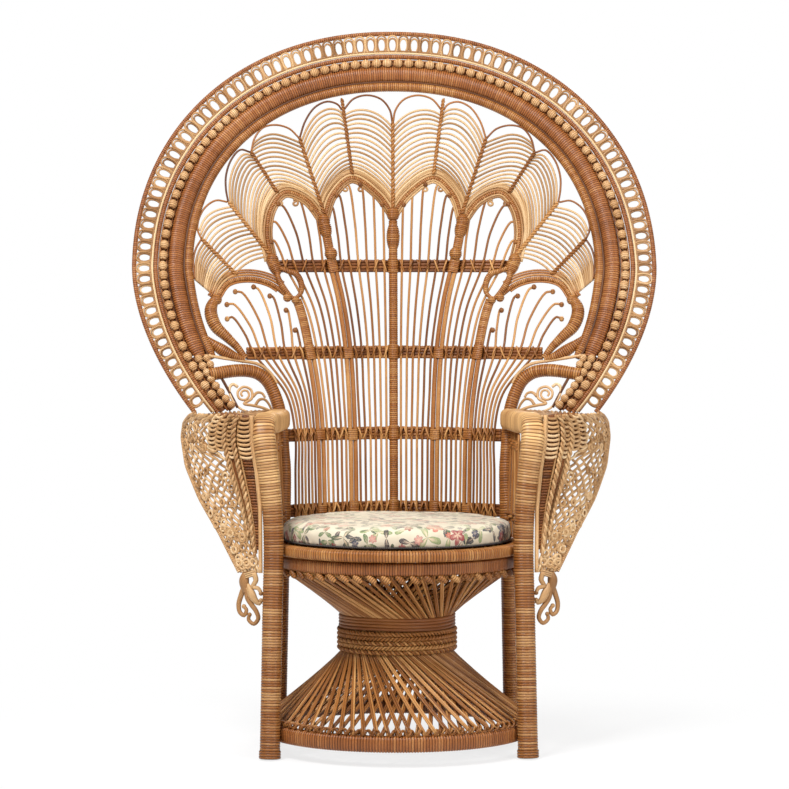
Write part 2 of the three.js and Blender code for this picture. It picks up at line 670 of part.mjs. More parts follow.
// Scalloped border: four arches bound together by knots at the cusps
function fanBorder() {
  const right = arches.map((arch) => rod(lift(drawn(arch).getSpacedPoints(8)), ARCH_RADIUS, 5));
  const knots = cusps.map(([x, z]) => outward(knot(x, z)));
  return fuse([...right, ...right.map(mirrored), ...knots, ...knots.slice(1).map(mirrored)]);
}

// Outer arch that springs from the last rib, runs to the halo and returns as a stile to the shoulder
function sideArch() {
  const path = lift(drawn([...sideArchLine, ...sideStile]).getSpacedPoints(15));
  const arch = rod(path, ARCH_RADIUS, 6, { start: new THREE.Vector3(1, 0, 0.5), end: UP.clone().negate() });
  return cut(arch, [rearPole(GAP), rib(2, GAP), innerHoop(GAP)]);
}

// Rod in the valley between two feathers, standing on a knot of the border
function valleyRod(index, swell = 0) {
  const [cusp, top] = [new THREE.Vector2(...cusps[index]), new THREE.Vector2(...valleys[index][1])];
  const foot = cusp.clone().lerp(top, (KNOT_RADIUS + GAP + 2.3 * ARCH_RADIUS) / cusp.distanceTo(top));
  top.lerp(cusp, -0.03);
  const path = [0, 0.5, 1].map((u) => onBack(lerp(foot.x, top.x, u), lerp(foot.y, top.y, u)));
  return rod(path, ROD_RADIUS + swell, 6);
}

// A feather: strands arch from its spine down to the valley on each side
function feather(index) {
  const spine = spines[index].map((p) => new THREE.Vector2(...p));
  const rise = spine[1].clone().sub(spine[0]).normalize();
  const stem = [0, 0.5, 1].map((u) => spine[0].clone().lerp(spine[1], u)).map((p) => onBack(p.x, p.y));
  const strands = [index, index + 1].flatMap((side) => {
    const valley = valleys[side].map((p) => new THREE.Vector2(...p));
    return Array.from({ length: FEATHER_STRANDS }, (_, k) => {
      const share = k / (FEATHER_STRANDS - 1);
      const from = spine[0].clone().lerp(spine[1], 0.04 + 0.92 * share);
      const rim = valley[0].clone().lerp(valley[1], share);
      const span = from.distanceTo(rim);
      const crest = from.clone().lerp(rim, 0.6).addScaledVector(rise, span * LOBE_BULGE);
      const points = new THREE.QuadraticBezierCurve(from, crest, rim).getPoints(3);
      return rod(points.map((p) => onBack(p.x, p.y)), FEATHER_STRAND_RADIUS, 3);
    });
  });
  const outerSide = index < 2 ? valleyRod(index + 1, GAP) : innerHoop(GAP);
  return cut(fuse([rod(stem, SPINE_RADIUS, 4), ...strands]), [valleyRod(index, GAP), outerSide]);
}

// Halo outline in the drawing plane, from the left arm over the top to the right arm
class HaloOutline extends THREE.Curve {
  getPoint(t, target = new THREE.Vector3()) {
    const reach = Math.PI / 2 + (1.3 * HALO_DRAW_DEPTH) / (HALO_TOP - HALO_CENTRE);
    const turn = (2 * t - 1) * reach;
    const bend = Math.min(Math.abs(turn), Math.PI / 2);
    const power = 2 / HALO_SQUARENESS;
    const tall = HALO_TOP - HALO_CENTRE;
    const below = (Math.abs(turn) - bend) * tall;
    const drawIn = HALO_DRAW_IN * (below / HALO_DRAW_DEPTH) ** HALO_DRAW_POWER;
    const x = HALO_HALF_WIDTH * Math.sin(bend) ** power - drawIn;
    const z = HALO_CENTRE + tall * Math.max(Math.cos(bend), 0) ** power - below;
    return target.set(Math.sign(turn) * x, 0, z);
  }
}

const halo = new HaloOutline();
halo.arcLengthDivisions = 600;

function haloSpot(u, inset) {
  const point = halo.getPointAt(u);
  const along = halo.getTangentAt(u);
  return [point.x + along.z * inset, point.z - along.x * inset];
}

// Share of the outline at which a layer comes down to a given height on the right
function haloEnd(inset, height) {
  let [low, high] = [0.5, 0.999];
  for (let i = 0; i < 40; i += 1) {
    const middle = (low + high) / 2;
    if (haloSpot(middle, inset)[1] > height) low = middle;
    else high = middle;
  }
  return low;
}

// Shares of the outline at which every layer has a station, so that neighbouring facets run parallel
function haloStations(inset, height) {
  const end = haloEnd(inset, height);
  const grid = Array.from({ length: HALO_STATIONS }, (_, k) => (k + 0.5) / HALO_STATIONS);
  const inside = grid.filter((u) => Math.abs(u - 0.5) < end - 0.5 - 0.3 / HALO_STATIONS);
  return [1 - end, ...inside, end];
}

const haloPath = (inset, height) => haloStations(inset, height).map((u) => onBack(...haloSpot(u, inset)));

const flush = { face: backFace };
const stand = { face: backFace, start: UP, end: UP.clone().negate() };
const middleSection = () => oval(MIDDLE_HOOP_DEPTH, MIDDLE_HOOP_WIDTH, 6);
const wideSection = () => oval(WIDE_BAND_DEPTH, WIDE_BAND_WIDTH, 6);
const innerPath = () => haloPath(innerCentre, fitHeight(INNER_HOOP_END));
const outerHoop = () => rod(haloPath(OUTER_HOOP_RADIUS, haloFoot), OUTER_HOOP_RADIUS, 6, stand);
const middleHoop = () => sweep(haloPath(middleCentre, haloFoot), middleSection, stand);
const wideBand = () => sweep(haloPath(wideCentre, fitHeight(WIDE_BAND_END)), wideSection, flush);
const innerHoop = (swell = 0) => rod(innerPath(), INNER_HOOP_RADIUS + swell, 6, flush);

// Knotted beads, one at each station, drawn in between them
function beadRow() {
  const shares = haloStations(beadCentre, haloFoot);
  const path = shares.flatMap((u, k) => (k === 0 ? [u] : [(u + shares[k - 1]) / 2, u]));
  const swell = (u) => (Math.round(u * (path.length - 1)) % 2 === 0 ? BEAD_RADIUS : BEAD_RADIUS * 0.6);
  return rod(path.map((u) => onBack(...haloSpot(u, beadCentre))), swell, 4, stand);
}

// Lace of looped cane between the outer and middle hoops, one opening per loop
function loopLace() {
  const shares = haloStations(laceStart + LACE_WIDTH / 2, haloFoot + LACE_WIDTH * 0.45);
  const loop = [[0.34, 0.15], [0.66, 0.15], [0.86, 0.85], [0.14, 0.85]];
  const last = shares.length - 1;
  return net(last, 1, LACE_THICKNESS, loop, (x, y, out) => {
    const cell = Math.min(Math.floor(x), last - 1);
    const u = lerp(shares[cell], shares[cell + 1], x - cell);
    return onBack(...haloSpot(u, laceStart + y * LACE_WIDTH), out);
  });
}

// Cape of the arm: a lace wall that bows in plan from the side of the front leg to behind the halo's foot
const legSide = frontLeg(SEAT_HEIGHT);
const haloSide = onBack(haloSpot(haloEnd(0, haloFoot), 0)[0], haloFoot);
const capeStart = new THREE.Vector2(legSide.x + FRONT_LEG_RADIUS + CAPE_CLEARANCE, legSide.y);
const capeEnd = new THREE.Vector2(haloSide.x + CAPE_OVERHANG, haloSide.y);
const capeBow = new THREE.Vector2(
  lerp(capeStart.x, capeEnd.x, CAPE_BOW[0]),
  lerp(capeStart.y, capeEnd.y, CAPE_BOW[1]),
);
const capePlan = new THREE.QuadraticBezierCurve(capeStart, capeBow, capeEnd);
const capeLength = capePlan.getLength();
const capeTop = ARM_HEIGHT - ARM_TOP_THICKNESS - GAP;

// Run along the bow at which it passes a half-width
function capeRun(half) {
  let [low, high] = [0, 1];
  for (let i = 0; i < 30; i += 1) {
    const middle = (low + high) / 2;
    if (capePlan.getPointAt(middle).x < half) low = middle;
    else high = middle;
  }
  return low * capeLength;
}

const capeEdgeLine = CAPE_EDGE.map(([z, x]) => {
  const [bottom, top] = CAPE_SHEET_HEIGHTS;
  const [leg, end] = CAPE_SHEET_WIDTHS;
  const height = lerp(CAPE_BOTTOM, ARM_HEIGHT, (z - bottom) / (top - bottom));
  return [height, lerp(capeStart.x, capeEnd.x, (x - leg) / (end - leg))];
});
const capeReach = (z) => capeRun(lineAt(capeEdgeLine, z));
const capeFront = (z) => capeRun(Math.max(capeStart.x, poleSpot(z).x + poleHalf(z) + CAPE_CLEARANCE));

function onCape(s, z, out = 0) {
  const u = THREE.MathUtils.clamp(s / capeLength, 0, 1);
  const spot = capePlan.getPointAt(u);
  const along = capePlan.getTangentAt(u);
  return new THREE.Vector3(spot.x + along.y * out, spot.y - along.x * out, z);
}

const spread = (count, low, high) => Array.from({ length: count + 1 }, (_, k) => lerp(low, high, k / count));

function armLace() {
  const slope = (z) => (capeReach(Math.min(z + 8, capeTop)) - capeReach(z - 8)) / 16;
  const width = (z) => capeReach(z) - (CAPE_EDGE_RADIUS + 10 * GAP) * Math.hypot(1, slope(z));
  const diamond = [[0.5, 0.08], [0.88, 0.5], [0.5, 0.92], [0.12, 0.5]];
  return net(CAPE_COLUMNS, CAPE_ROWS, CAPE_THICKNESS, diamond, (x, y, out) => {
    const z = lerp(CAPE_BOTTOM, capeTop, y / CAPE_ROWS);
    return onCape(lerp(capeFront(z), width(z), x / CAPE_COLUMNS), z, out);
  });
}

function capeEdge() {
  const path = spread(12, CAPE_BOTTOM, capeTop).map((z) => onCape(capeReach(z), z));
  return rod(path, CAPE_EDGE_RADIUS, 5, { start: UP, end: UP, ref: new THREE.Vector3(1, 0, 0) });
}

// Woven top of the arm between the rail and the cape; the halo comes down onto it
function armTop() {
  const rim = spread(6, 0.06, 0.97).map((share) => onCape(share * capeLength, 0, ARM_TOP_LIP));
  const behind = (x, back) => new THREE.Vector2(x, backDepth(x, ARM_HEIGHT) + back);
  const inner = railStart.x - ARM_FRONT_SHIFT + CAPE_CLEARANCE;
  const plan = [
    ...rim.map((p) => new THREE.Vector2(p.x, p.y)),
    behind(capeEnd.x - SHOULDER_RADIUS, ARM_TOP_BACK),
    behind(lerp(post.x, capeEnd.x, 0.45), ARM_TOP_BACK),
    behind(post.x + 2 * SHOULDER_RADIUS, 0),
    new THREE.Vector2(inner, railEnd.y - ARM_BEND),
    new THREE.Vector2(inner, capeStart.y + CAPE_OVERHANG),
  ];
  const plate = { depth: ARM_TOP_THICKNESS, bevelEnabled: false };
  const slice = new THREE.ExtrudeGeometry(new THREE.Shape(plan), plate);
  return cut(slice.translate(0, 0, ARM_HEIGHT - ARM_TOP_THICKNESS), [frontPole(GAP), rearPole(GAP)]);
}

// Curled drop at the foot of the cape
function tassel() {
  const middle = (capeFront(CAPE_BOTTOM) + capeReach(CAPE_BOTTOM)) / 2;
  const top = CAPE_BOTTOM - GAP;
  const curl = (points, fit) => {
    const line = drawn(points.map(([s, drop]) => [middle + s * TASSEL_SPREAD, top - drop * TASSEL_DROP]));
    return rod(line.getSpacedPoints(5).map((p) => onCape(p.x, p.z)), CURL_RADIUS, 4, fit);
  };
  const down = { start: UP.clone().negate() };
  const stem = curl([[0, 0], [0.06, 0.35], [0.25, 0.7], [0, 0.95], [-0.44, 0.88], [-0.31, 0.74]], down);
  const left = curl([[0, 0.12], [-0.56, 0.2], [-0.81, 0.38], [-0.5, 0.52], [-0.19, 0.46]]);
  const right = curl([[0, 0.12], [0.62, 0.2], [1, 0.38], [0.69, 0.54], [0.31, 0.48]]);
  return fuse([stem, left, right]);
}

// Scroll in the opening under the shoulder, standing on the arm top and clear of the bead row
function shoulderScroll() {
  const [x, top] = fitted([SCROLL_TOP])[0];
  const half = (top - SHOULDER_RADIUS - haloFoot) / 2;
  const beadEdge = beadCentre + BEAD_RADIUS;
  const level = haloEnd(beadEdge, haloFoot + half);
  const room = (haloSpot(level, beadEdge)[0] - x) * Math.abs(halo.getTangentAt(level).z);
  const outer = Math.min(half, room) - SCROLL_RADIUS - SCROLL_CLEARANCE;
  const spiral = Array.from({ length: SCROLL_POINTS }, (_, k) => {
    const angle = radians(-110 - k * SCROLL_TURN);
    const reach = lerp(outer, SCROLL_RADIUS + 1, k / (SCROLL_POINTS - 1));
    return [x + reach * Math.cos(angle), haloFoot + half + reach * Math.sin(angle)];
  });
  const [first, second] = spiral;
  const stem = [2 * first[0] - second[0], haloFoot];
  return rod(lift(flat([stem, ...spiral])), SCROLL_RADIUS, 5, { start: UP });
}

// Assembly
const CANE = {
  wrapped: 0xb9854a,
  weave: 0xcf9f63,
  pale: 0xdab67f,
  dark: 0x96622f,
  cloth: 0xeee6d6,
  cord: 0x4a3f3a,
};
const group = new THREE.Group();
group.name = "peacock_chair";

function add(name, geometry, tone) {
  const material = new THREE.MeshStandardMaterial({ color: CANE[tone], roughness: 0.55 });
  const mesh = new THREE.Mesh(outward(geometry), material);
  mesh.name = name;
  group.add(mesh);
}

function addPair(name, geometry, tone) {
  add(`${name}_right`, geometry, tone);
  add(`${name}_left`, mirrored(geometry), tone);
}

add("base_hoop", baseHoop(), "wrapped");
add("hourglass_strands_outer", outerStrands(), "weave");
add("hourglass_strands_inner", innerStrands(), "weave");
add("waist_binding", waistBinding(), "dark");
add("seat_apron", apron(), "wrapped");
add("seat_hoop", seatHoop(), "wrapped");
add("seat_deck", seatDeck(), "weave");
addPair("seat_bar", seatBar(), "wrapped");
add("cushion_pad", cushion(), "cloth");
add("cushion_piping", cushionPiping(), "cord");
addPair("front_pole", frontPole(), "wrapped");
addPair("rear_pole", rearPole(), "wrapped");
addPair("arm_side_spokes", armSide(), "weave");
add("back_rib_centre", rib(0), "wrapped");
addPair("back_rib_inner", rib(1), "wrapped");
addPair("back_rib_outer", rib(2), "wrapped");
addPair("back_bay_inner", backBay(0), "weave");
addPair("back_bay_middle", backBay(1), "weave");
addPair("back_bay_outer", backBay(2), "weave");
add("fan_border", fanBorder(), "wrapped");
addPair("side_arch", sideArch(), "wrapped");
add("valley_rod_centre", valleyRod(0), "wrapped");
addPair("valley_rod_inner", valleyRod(1), "wrapped");
addPair("valley_rod_outer", valleyRod(2), "wrapped");
addPair("feather_inner", feather(0), "pale");
addPair("feather_middle", feather(1), "pale");
addPair("feather_outer", feather(2), "pale");
add("halo_outer_hoop", outerHoop(), "wrapped");
add("halo_loop_lace", loopLace(), "pale");
add("halo_middle_hoop", middleHoop(), "wrapped");
add("halo_bead_row", beadRow(), "weave");
add("halo_wide_band", wideBand(), "dark");
add("halo_inner_hoop", innerHoop(), "wrapped");
addPair("arm_lace", armLace(), "pale");
addPair("arm_edge_cane", capeEdge(), "wrapped");
addPair("arm_top", armTop(), "weave");
addPair("arm_tassel", tassel(), "dark");
addPair("shoulder_scroll", shoulderScroll(), "wrapped");

// The origin goes to the middle of the footprint of the whole chair
const bounds = new THREE.Box3().setFromObject(group);
const middle = (bounds.min.y + bounds.max.y) / 2;
group.children.forEach((mesh) => mesh.geometry.translate(0, -middle, 0));

export default group;
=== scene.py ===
# %% [markdown]
# A peacock chair, woven from rattan cane, made as a lesson in cells.
# The real chair is bent and wound by hand: thick poles wrapped in split cane carry thin round strands.
# Almost everything on it is a strand that follows a line, so the lesson builds one good strand first,
# and then draws the lines of each piece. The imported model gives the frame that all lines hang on.

# %% Load the frame
import math

import bpy
import numpy as np
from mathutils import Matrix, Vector


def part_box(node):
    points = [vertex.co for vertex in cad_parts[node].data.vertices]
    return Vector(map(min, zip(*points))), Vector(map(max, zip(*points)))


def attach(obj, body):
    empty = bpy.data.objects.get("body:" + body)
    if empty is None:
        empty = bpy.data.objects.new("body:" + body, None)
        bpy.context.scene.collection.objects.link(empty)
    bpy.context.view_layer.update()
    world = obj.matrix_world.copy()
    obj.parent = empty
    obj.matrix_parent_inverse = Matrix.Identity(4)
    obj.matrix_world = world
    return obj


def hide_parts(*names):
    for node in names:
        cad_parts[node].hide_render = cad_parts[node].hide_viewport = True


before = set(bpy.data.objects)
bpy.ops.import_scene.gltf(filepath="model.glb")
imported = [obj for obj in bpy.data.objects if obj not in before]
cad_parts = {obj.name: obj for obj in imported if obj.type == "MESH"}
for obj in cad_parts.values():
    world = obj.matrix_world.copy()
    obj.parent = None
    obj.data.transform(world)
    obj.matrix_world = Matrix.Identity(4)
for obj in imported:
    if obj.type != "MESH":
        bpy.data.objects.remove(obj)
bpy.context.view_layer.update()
scene = bpy.context.scene


def add(name, data):
    """A new object in the scene."""
    obj = bpy.data.objects.new(name, data)
    scene.collection.objects.link(obj)
    return obj


print("nodes in the frame:", len(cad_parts))

# %% [markdown]
# A maker thinks in millimetres from the middle of the seat, and Blender here thinks in metres from the middle
# of the footprint. One function carries points across, so every later number is a size that could be measured
# on the chair with a tape. The seat deck is round, so its middle gives the seat axis.

# %% Millimetres round the seat axis
MM = 0.001
deck_low, deck_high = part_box("seat_deck")
SEAT_AXIS_Y = (deck_low.y + deck_high.y) / 2
SEAT_HEIGHT = deck_high.z / MM
UP = np.array([0.0, 0.0, 1.0])
ACROSS = np.array([1.0, 0.0, 0.0])


def to_frame(points):
    """Millimetres round the seat axis, carried to metres in the shared frame."""
    return np.asarray(points, float) * MM + np.array([0.0, SEAT_AXIS_Y, 0.0])


def extent(node):
    """Lowest and highest corner of a solid in millimetres round the seat axis."""
    low, high = (np.array(corner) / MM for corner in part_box(node))
    shift = np.array([0.0, SEAT_AXIS_Y / MM, 0.0])
    return low - shift, high - shift


def radius_of(node):
    low, high = extent(node)
    return (high[0] - low[0]) / 2


print(f"seat axis at y = {SEAT_AXIS_Y:.4f} m, seat at {SEAT_HEIGHT:.0f} mm")

# %% [markdown]
# The camera stands where the photographer stood: a long lens, a little left of the chair and at chest height.
# A long lens keeps the legs parallel. Aiming it, instead of shifting the lens, keeps other views centred.

# %% Camera
CAMERA_SPOT = (-150.0, -5800.0, 920.0)
CAMERA_YAW = 1.43
CAMERA_PITCH = 2.017
CAMERA_LENS = 131.0
camera_data = bpy.data.cameras.new("camera")
camera_data.lens = CAMERA_LENS
camera = add("camera", camera_data)
camera.location = to_frame(CAMERA_SPOT)
camera.rotation_euler = (math.radians(90 - CAMERA_PITCH), 0, -math.radians(CAMERA_YAW))
scene.camera = camera
print("camera at", [round(value, 3) for value in camera.location])

# %% [markdown]
# Lines come before strands. A bent cane has no corners, so a few listed points are joined by a
# Catmull-Rom line, which passes through every point. The centripetal kind never loops back on itself.
# A second helper spaces points evenly, because a wrapped pole needs its rings at an even pitch.
# The chair is the same left and right, so most lines are drawn for the right and then mirrored.

# %% Lines
SIDES = ((1, "right"), (-1, "left"))


def smooth(points, step=5.0):
    """A centripetal Catmull-Rom line through the points, with a point about every step."""
    middle = np.asarray(points, float)
    ends = np.vstack([2 * middle[0] - middle[1], middle, 2 * middle[-1] - middle[-2]])
    gaps = np.linalg.norm(np.diff(ends, axis=0), axis=1) ** 0.5
    knots = np.concatenate([[0.0], np.cumsum(np.maximum(gaps, 1e-6))])
    line = []
    for i in range(1, len(ends) - 2):
        a, b, c, d = ends[i - 1 : i + 3]
        ta, tb, tc, td = knots[i - 1 : i + 3]
        count = max(2, int(np.linalg.norm(c - b) / step) + 1)
        t = np.linspace(tb, tc, count, endpoint=False)[:, None]
        ab = (tb - t) / (tb - ta) * a + (t - ta) / (tb - ta) * b
        bc = (tc - t) / (tc - tb) * b + (t - tb) / (tc - tb) * c
        cd = (td - t) / (td - tc) * c + (t - tc) / (td - tc) * d
        first = (tc - t) / (tc - ta) * ab + (t - ta) / (tc - ta) * bc
        second = (td - t) / (td - tb) * bc + (t - tb) / (td - tb) * cd
        line.append((tc - t) / (tc - tb) * first + (t - tb) / (tc - tb) * second)
    return np.vstack([*line, middle[-1:]])


def lengths(path):
    """How far along the path each point lies."""
    steps = np.linalg.norm(np.diff(path, axis=0), axis=1)
    return np.concatenate([[0.0], np.cumsum(steps)])


def respaced(path, count):
    """The same path with evenly spaced points."""
    run = lengths(path)
    spots = np.linspace(0, run[-1], count)
    return np.stack([np.interp(spots, run, path[:, k]) for k in range(path.shape[1])], axis=1)


def bow(start, crest, end, count):
    """A quadratic arc from start to end, pulled toward a crest."""
    u = np.linspace(0, 1, count)[:, None]
    return (1 - u) ** 2 * start + 2 * u * (1 - u) * crest + u * u * end


def circle(radius, z, count=180):
    angles = np.linspace(0, 2 * np.pi, count + 1) + np.pi / 2
    return np.stack([radius * np.cos(angles), radius * np.sin(angles), np.full(count + 1, float(z))], axis=1)


def outward(path):
    """Directions that point away from the seat axis."""
    flat = np.asarray(path, float) * np.array([1.0, 1.0, 0.0])
    return flat / np.maximum(np.linalg.norm(flat, axis=1, keepdims=True), 1e-6)


def mirrored(path, side):
    return np.asarray(path, float) * np.array([side, 1.0, 1.0])


def lerp(a, b, share):
    return a + (b - a) * share


print("a smooth line through 3 points has", len(smooth([[0, 0], [30, 20], [60, 0]])), "points")

# %% [markdown]
# The back of the chair is one curved shell. It leans back, wraps round the sitter low down and opens out
# higher up. Drawing on a flat sheet of paper and lifting the drawing onto the shell is far easier than
# placing points in space, so the whole fan is drawn in width and height, and one function finds the depth.

# %% The shell of the back
BACK_REACH = 250.0
BACK_LEAN = 0.13
BACK_WRAP = 185.0
BACK_OPENING = 380.0
BACK_WINGS = 180.0


def back_depth(x, z):
    rise = np.maximum(z - SEAT_HEIGHT, 0)
    wrap = BACK_WRAP * (1 + (rise / BACK_OPENING) ** 3)
    return BACK_REACH + BACK_LEAN * rise - BACK_WINGS * np.tanh(x * x / (2 * wrap * BACK_WINGS))


def back_face(x, z):
    """Directions that look straight out of the shell toward the sitter."""
    slope_x = (back_depth(x + 1, z) - back_depth(x - 1, z)) / 2
    slope_z = (back_depth(x, z + 1) - back_depth(x, z - 1)) / 2
    face = np.stack([slope_x, -np.ones_like(slope_x), slope_z], axis=-1)
    return face / np.linalg.norm(face, axis=-1, keepdims=True)


def on_back(drawing, out=0.0):
    """A drawing of (width, height) points lifted onto the shell, out counts toward the sitter."""
    x, z = np.asarray(drawing, float).T
    lifted = np.stack([x, back_depth(x, z), z], axis=-1)
    return lifted + back_face(x, z) * np.reshape(out, (-1, 1))


def face_of(path):
    return back_face(path[:, 0], path[:, 2])


print(f"the shell's top stands {back_depth(0.0, 1480.0):.0f} mm behind the seat axis")

# %% [markdown]
# One strand is a section carried along a line. Curves with a bevel would do for plain strands, but wrapped
# poles need a ridge for every turn of split cane, and those ridges should be real shapes that catch the
# light. So tubes are worked out as arrays of points: a ring at each step, drawn in a little at each groove.
# Every point also keeps its run along the strand, its turn round it, the lap of wrapping it lies on, a tone
# for the whole strand and whether it is wound at all. The finishes read those later.

# %% Bundles of strands
RINGS_PER_LAP = 4
POINT_FACTS = ("run", "turn", "lap", "tone", "wound")
SLOTS = {"wrapped": "wrapped_cane", "strand": "split_cane"}


class Bundle:
    """Many tubes gathered in one mesh."""

    def __init__(self, seed):
        self.draw = np.random.default_rng(seed)
        self.points = []
        self.corners = []
        self.sizes = []
        self.facts = {name: [] for name in POINT_FACTS}
        self.count = 0

    def tube(self, path, deep, tall=None, sides=6, ref=UP, power=2.0, closed=False, lap=0.0, groove=0.0):
        """A tube along the path. Its half sizes, deep along ref and tall across it, are sizes or rules."""
        path = np.asarray(path, float)
        turns = max(1, round(lengths(path)[-1] / lap)) if lap else 0
        if lap:
            path = respaced(path, turns * RINGS_PER_LAP + 1)
        run = lengths(path)
        share = run / run[-1]
        if closed:
            ahead = np.vstack([path[1:], path[1:2]])
            behind = np.vstack([path[-2:-1], path[:-1]])
        else:
            ahead = np.vstack([path[1:], path[-1:]])
            behind = np.vstack([path[:1], path[:-1]])
        along = ahead - behind
        along /= np.maximum(np.linalg.norm(along, axis=1, keepdims=True), 1e-9)
        ref = ref(path) if callable(ref) else np.broadcast_to(ref, path.shape)
        normal = ref - along * np.sum(ref * along, axis=1, keepdims=True)
        normal /= np.maximum(np.linalg.norm(normal, axis=1, keepdims=True), 1e-9)
        beside = np.cross(along, normal)
        if closed:
            path, run, share, normal, beside = (v[:-1] for v in (path, run, share, normal, beside))
        rings = len(path)
        deep = np.broadcast_to(deep(share) if callable(deep) else deep, (rings,))
        tall = deep if tall is None else np.broadcast_to(tall(share) if callable(tall) else tall, (rings,))
        angle = 2 * np.pi * np.arange(sides) / sides
        power = np.broadcast_to(power(share) if callable(power) else power, (rings,))[:, None]
        bend = [np.sign(v) * np.abs(v)[None, :] ** (2 / power) for v in (np.cos(angle), np.sin(angle))]
        laps = np.repeat(share[:, None] * turns, sides, axis=1)
        crest = np.abs(np.sin(np.pi * laps)) ** 0.6 if lap else 1.0
        draw_in = 1 - groove * (1 - crest)
        spot = path[:, None, :]
        spot = spot + normal[:, None, :] * (deep[:, None] * bend[0] * draw_in)[:, :, None]
        spot = spot + beside[:, None, :] * (tall[:, None] * bend[1] * draw_in)[:, :, None]
        self.keep(spot, run, angle, laps, closed)

    def keep(self, spot, run, angle, laps, closed):
        """Adds the rings of one tube and the faces between them."""
        rings, sides = spot.shape[:2]
        index = self.count + np.arange(rings * sides).reshape(rings, sides)
        low = index if closed else index[:-1]
        high = np.roll(index, -1, axis=0) if closed else index[1:]
        quads = np.stack([low, np.roll(low, -1, axis=1), np.roll(high, -1, axis=1), high], axis=-1)
        self.corners.append(quads.reshape(-1))
        self.sizes.append(np.full(quads.size // 4, 4))
        if not closed:
            self.corners += [index[0][::-1], index[-1]]
            self.sizes.append(np.full(2, sides))
        self.points.append(spot.reshape(-1, 3))
        even = np.ones((rings, sides))
        self.facts["run"].append((run[:, None] * MM * even).ravel())
        self.facts["turn"].append((angle[None, :] / (2 * np.pi) * even).ravel())
        self.facts["lap"].append(laps.ravel() + self.draw.integers(1000))
        self.facts["tone"].append((self.draw.random() * even).ravel())
        self.facts["wound"].append((float(laps.max() > 0) * even).ravel())
        self.count += rings * sides

    def ball(self, centre, radius, axis=ACROSS, long=1.0, sides=10, lap=0.0, groove=0.0):
        """A ball or a fat knot, turned about an axis."""
        axis = np.asarray(axis, float) / np.linalg.norm(axis)
        reach = radius * long * np.cos(np.linspace(np.pi * 0.97, np.pi * 0.03, 11))[:, None]
        ref = UP if abs(axis[2]) < 0.8 else ACROSS
        swell = lambda share: radius * np.sqrt(np.maximum(1 - (2 * share - 1) ** 2 * 0.99, 0.004))
        path = np.asarray(centre, float) + axis * reach
        self.tube(path, swell, sides=sides, ref=ref, lap=lap, groove=groove)

    def lay(self, drawing, radius, out=0.0, side=1, **how):
        """A tube along a drawing that is lifted onto the back and mirrored to its side."""
        self.tube(mirrored(on_back(drawing, out), side), radius, ref=face_of, **how)

    def knot(self, spot, radius, out=0.0, side=1, **how):
        """A fat knot at a drawn point of the back."""
        self.ball(mirrored(on_back([spot], out), side)[0], radius, axis=UP, **how)

    def piece(self, name, finish, *stands_for, body="chair", slot=None):
        """Turns the bundle into one object that rides on a body and stands for its solids."""
        points = to_frame(np.vstack(self.points)).astype(np.float32)
        corners = np.concatenate(self.corners).astype(np.int32)
        sizes = np.concatenate(self.sizes)
        mesh = bpy.data.meshes.new(name)
        mesh.vertices.add(len(points))
        mesh.vertices.foreach_set("co", points.ravel())
        mesh.loops.add(len(corners))
        mesh.loops.foreach_set("vertex_index", corners)
        mesh.polygons.add(len(sizes))
        starts = np.concatenate([[0], np.cumsum(sizes)[:-1]]).astype(np.int32)
        mesh.polygons.foreach_set("loop_start", starts)
        mesh.polygons.foreach_set("use_smooth", np.ones(len(sizes), bool))
        mesh.update(calc_edges=True)
        for fact, values in self.facts.items():
            layer = mesh.attributes.new(fact, "FLOAT", "POINT")
            layer.data.foreach_set("value", np.concatenate(values).astype(np.float32))
        mesh.materials.append(finish)
        obj = add(name, mesh)
        slot = slot or SLOTS[finish.name.split("_")[0]]
        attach(obj, body)
        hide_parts(*stands_for)
        print(f"{name}: {len(sizes)} faces")


print("kept for every point of a bundle:", ", ".join(POINT_FACTS))

# %% [markdown]
# Shader nodes get long when they are written one by one, so a small helper adds a node, links its inputs
# and hands back its output. The finishes below then read like a recipe.

# %% A short way to write shader nodes


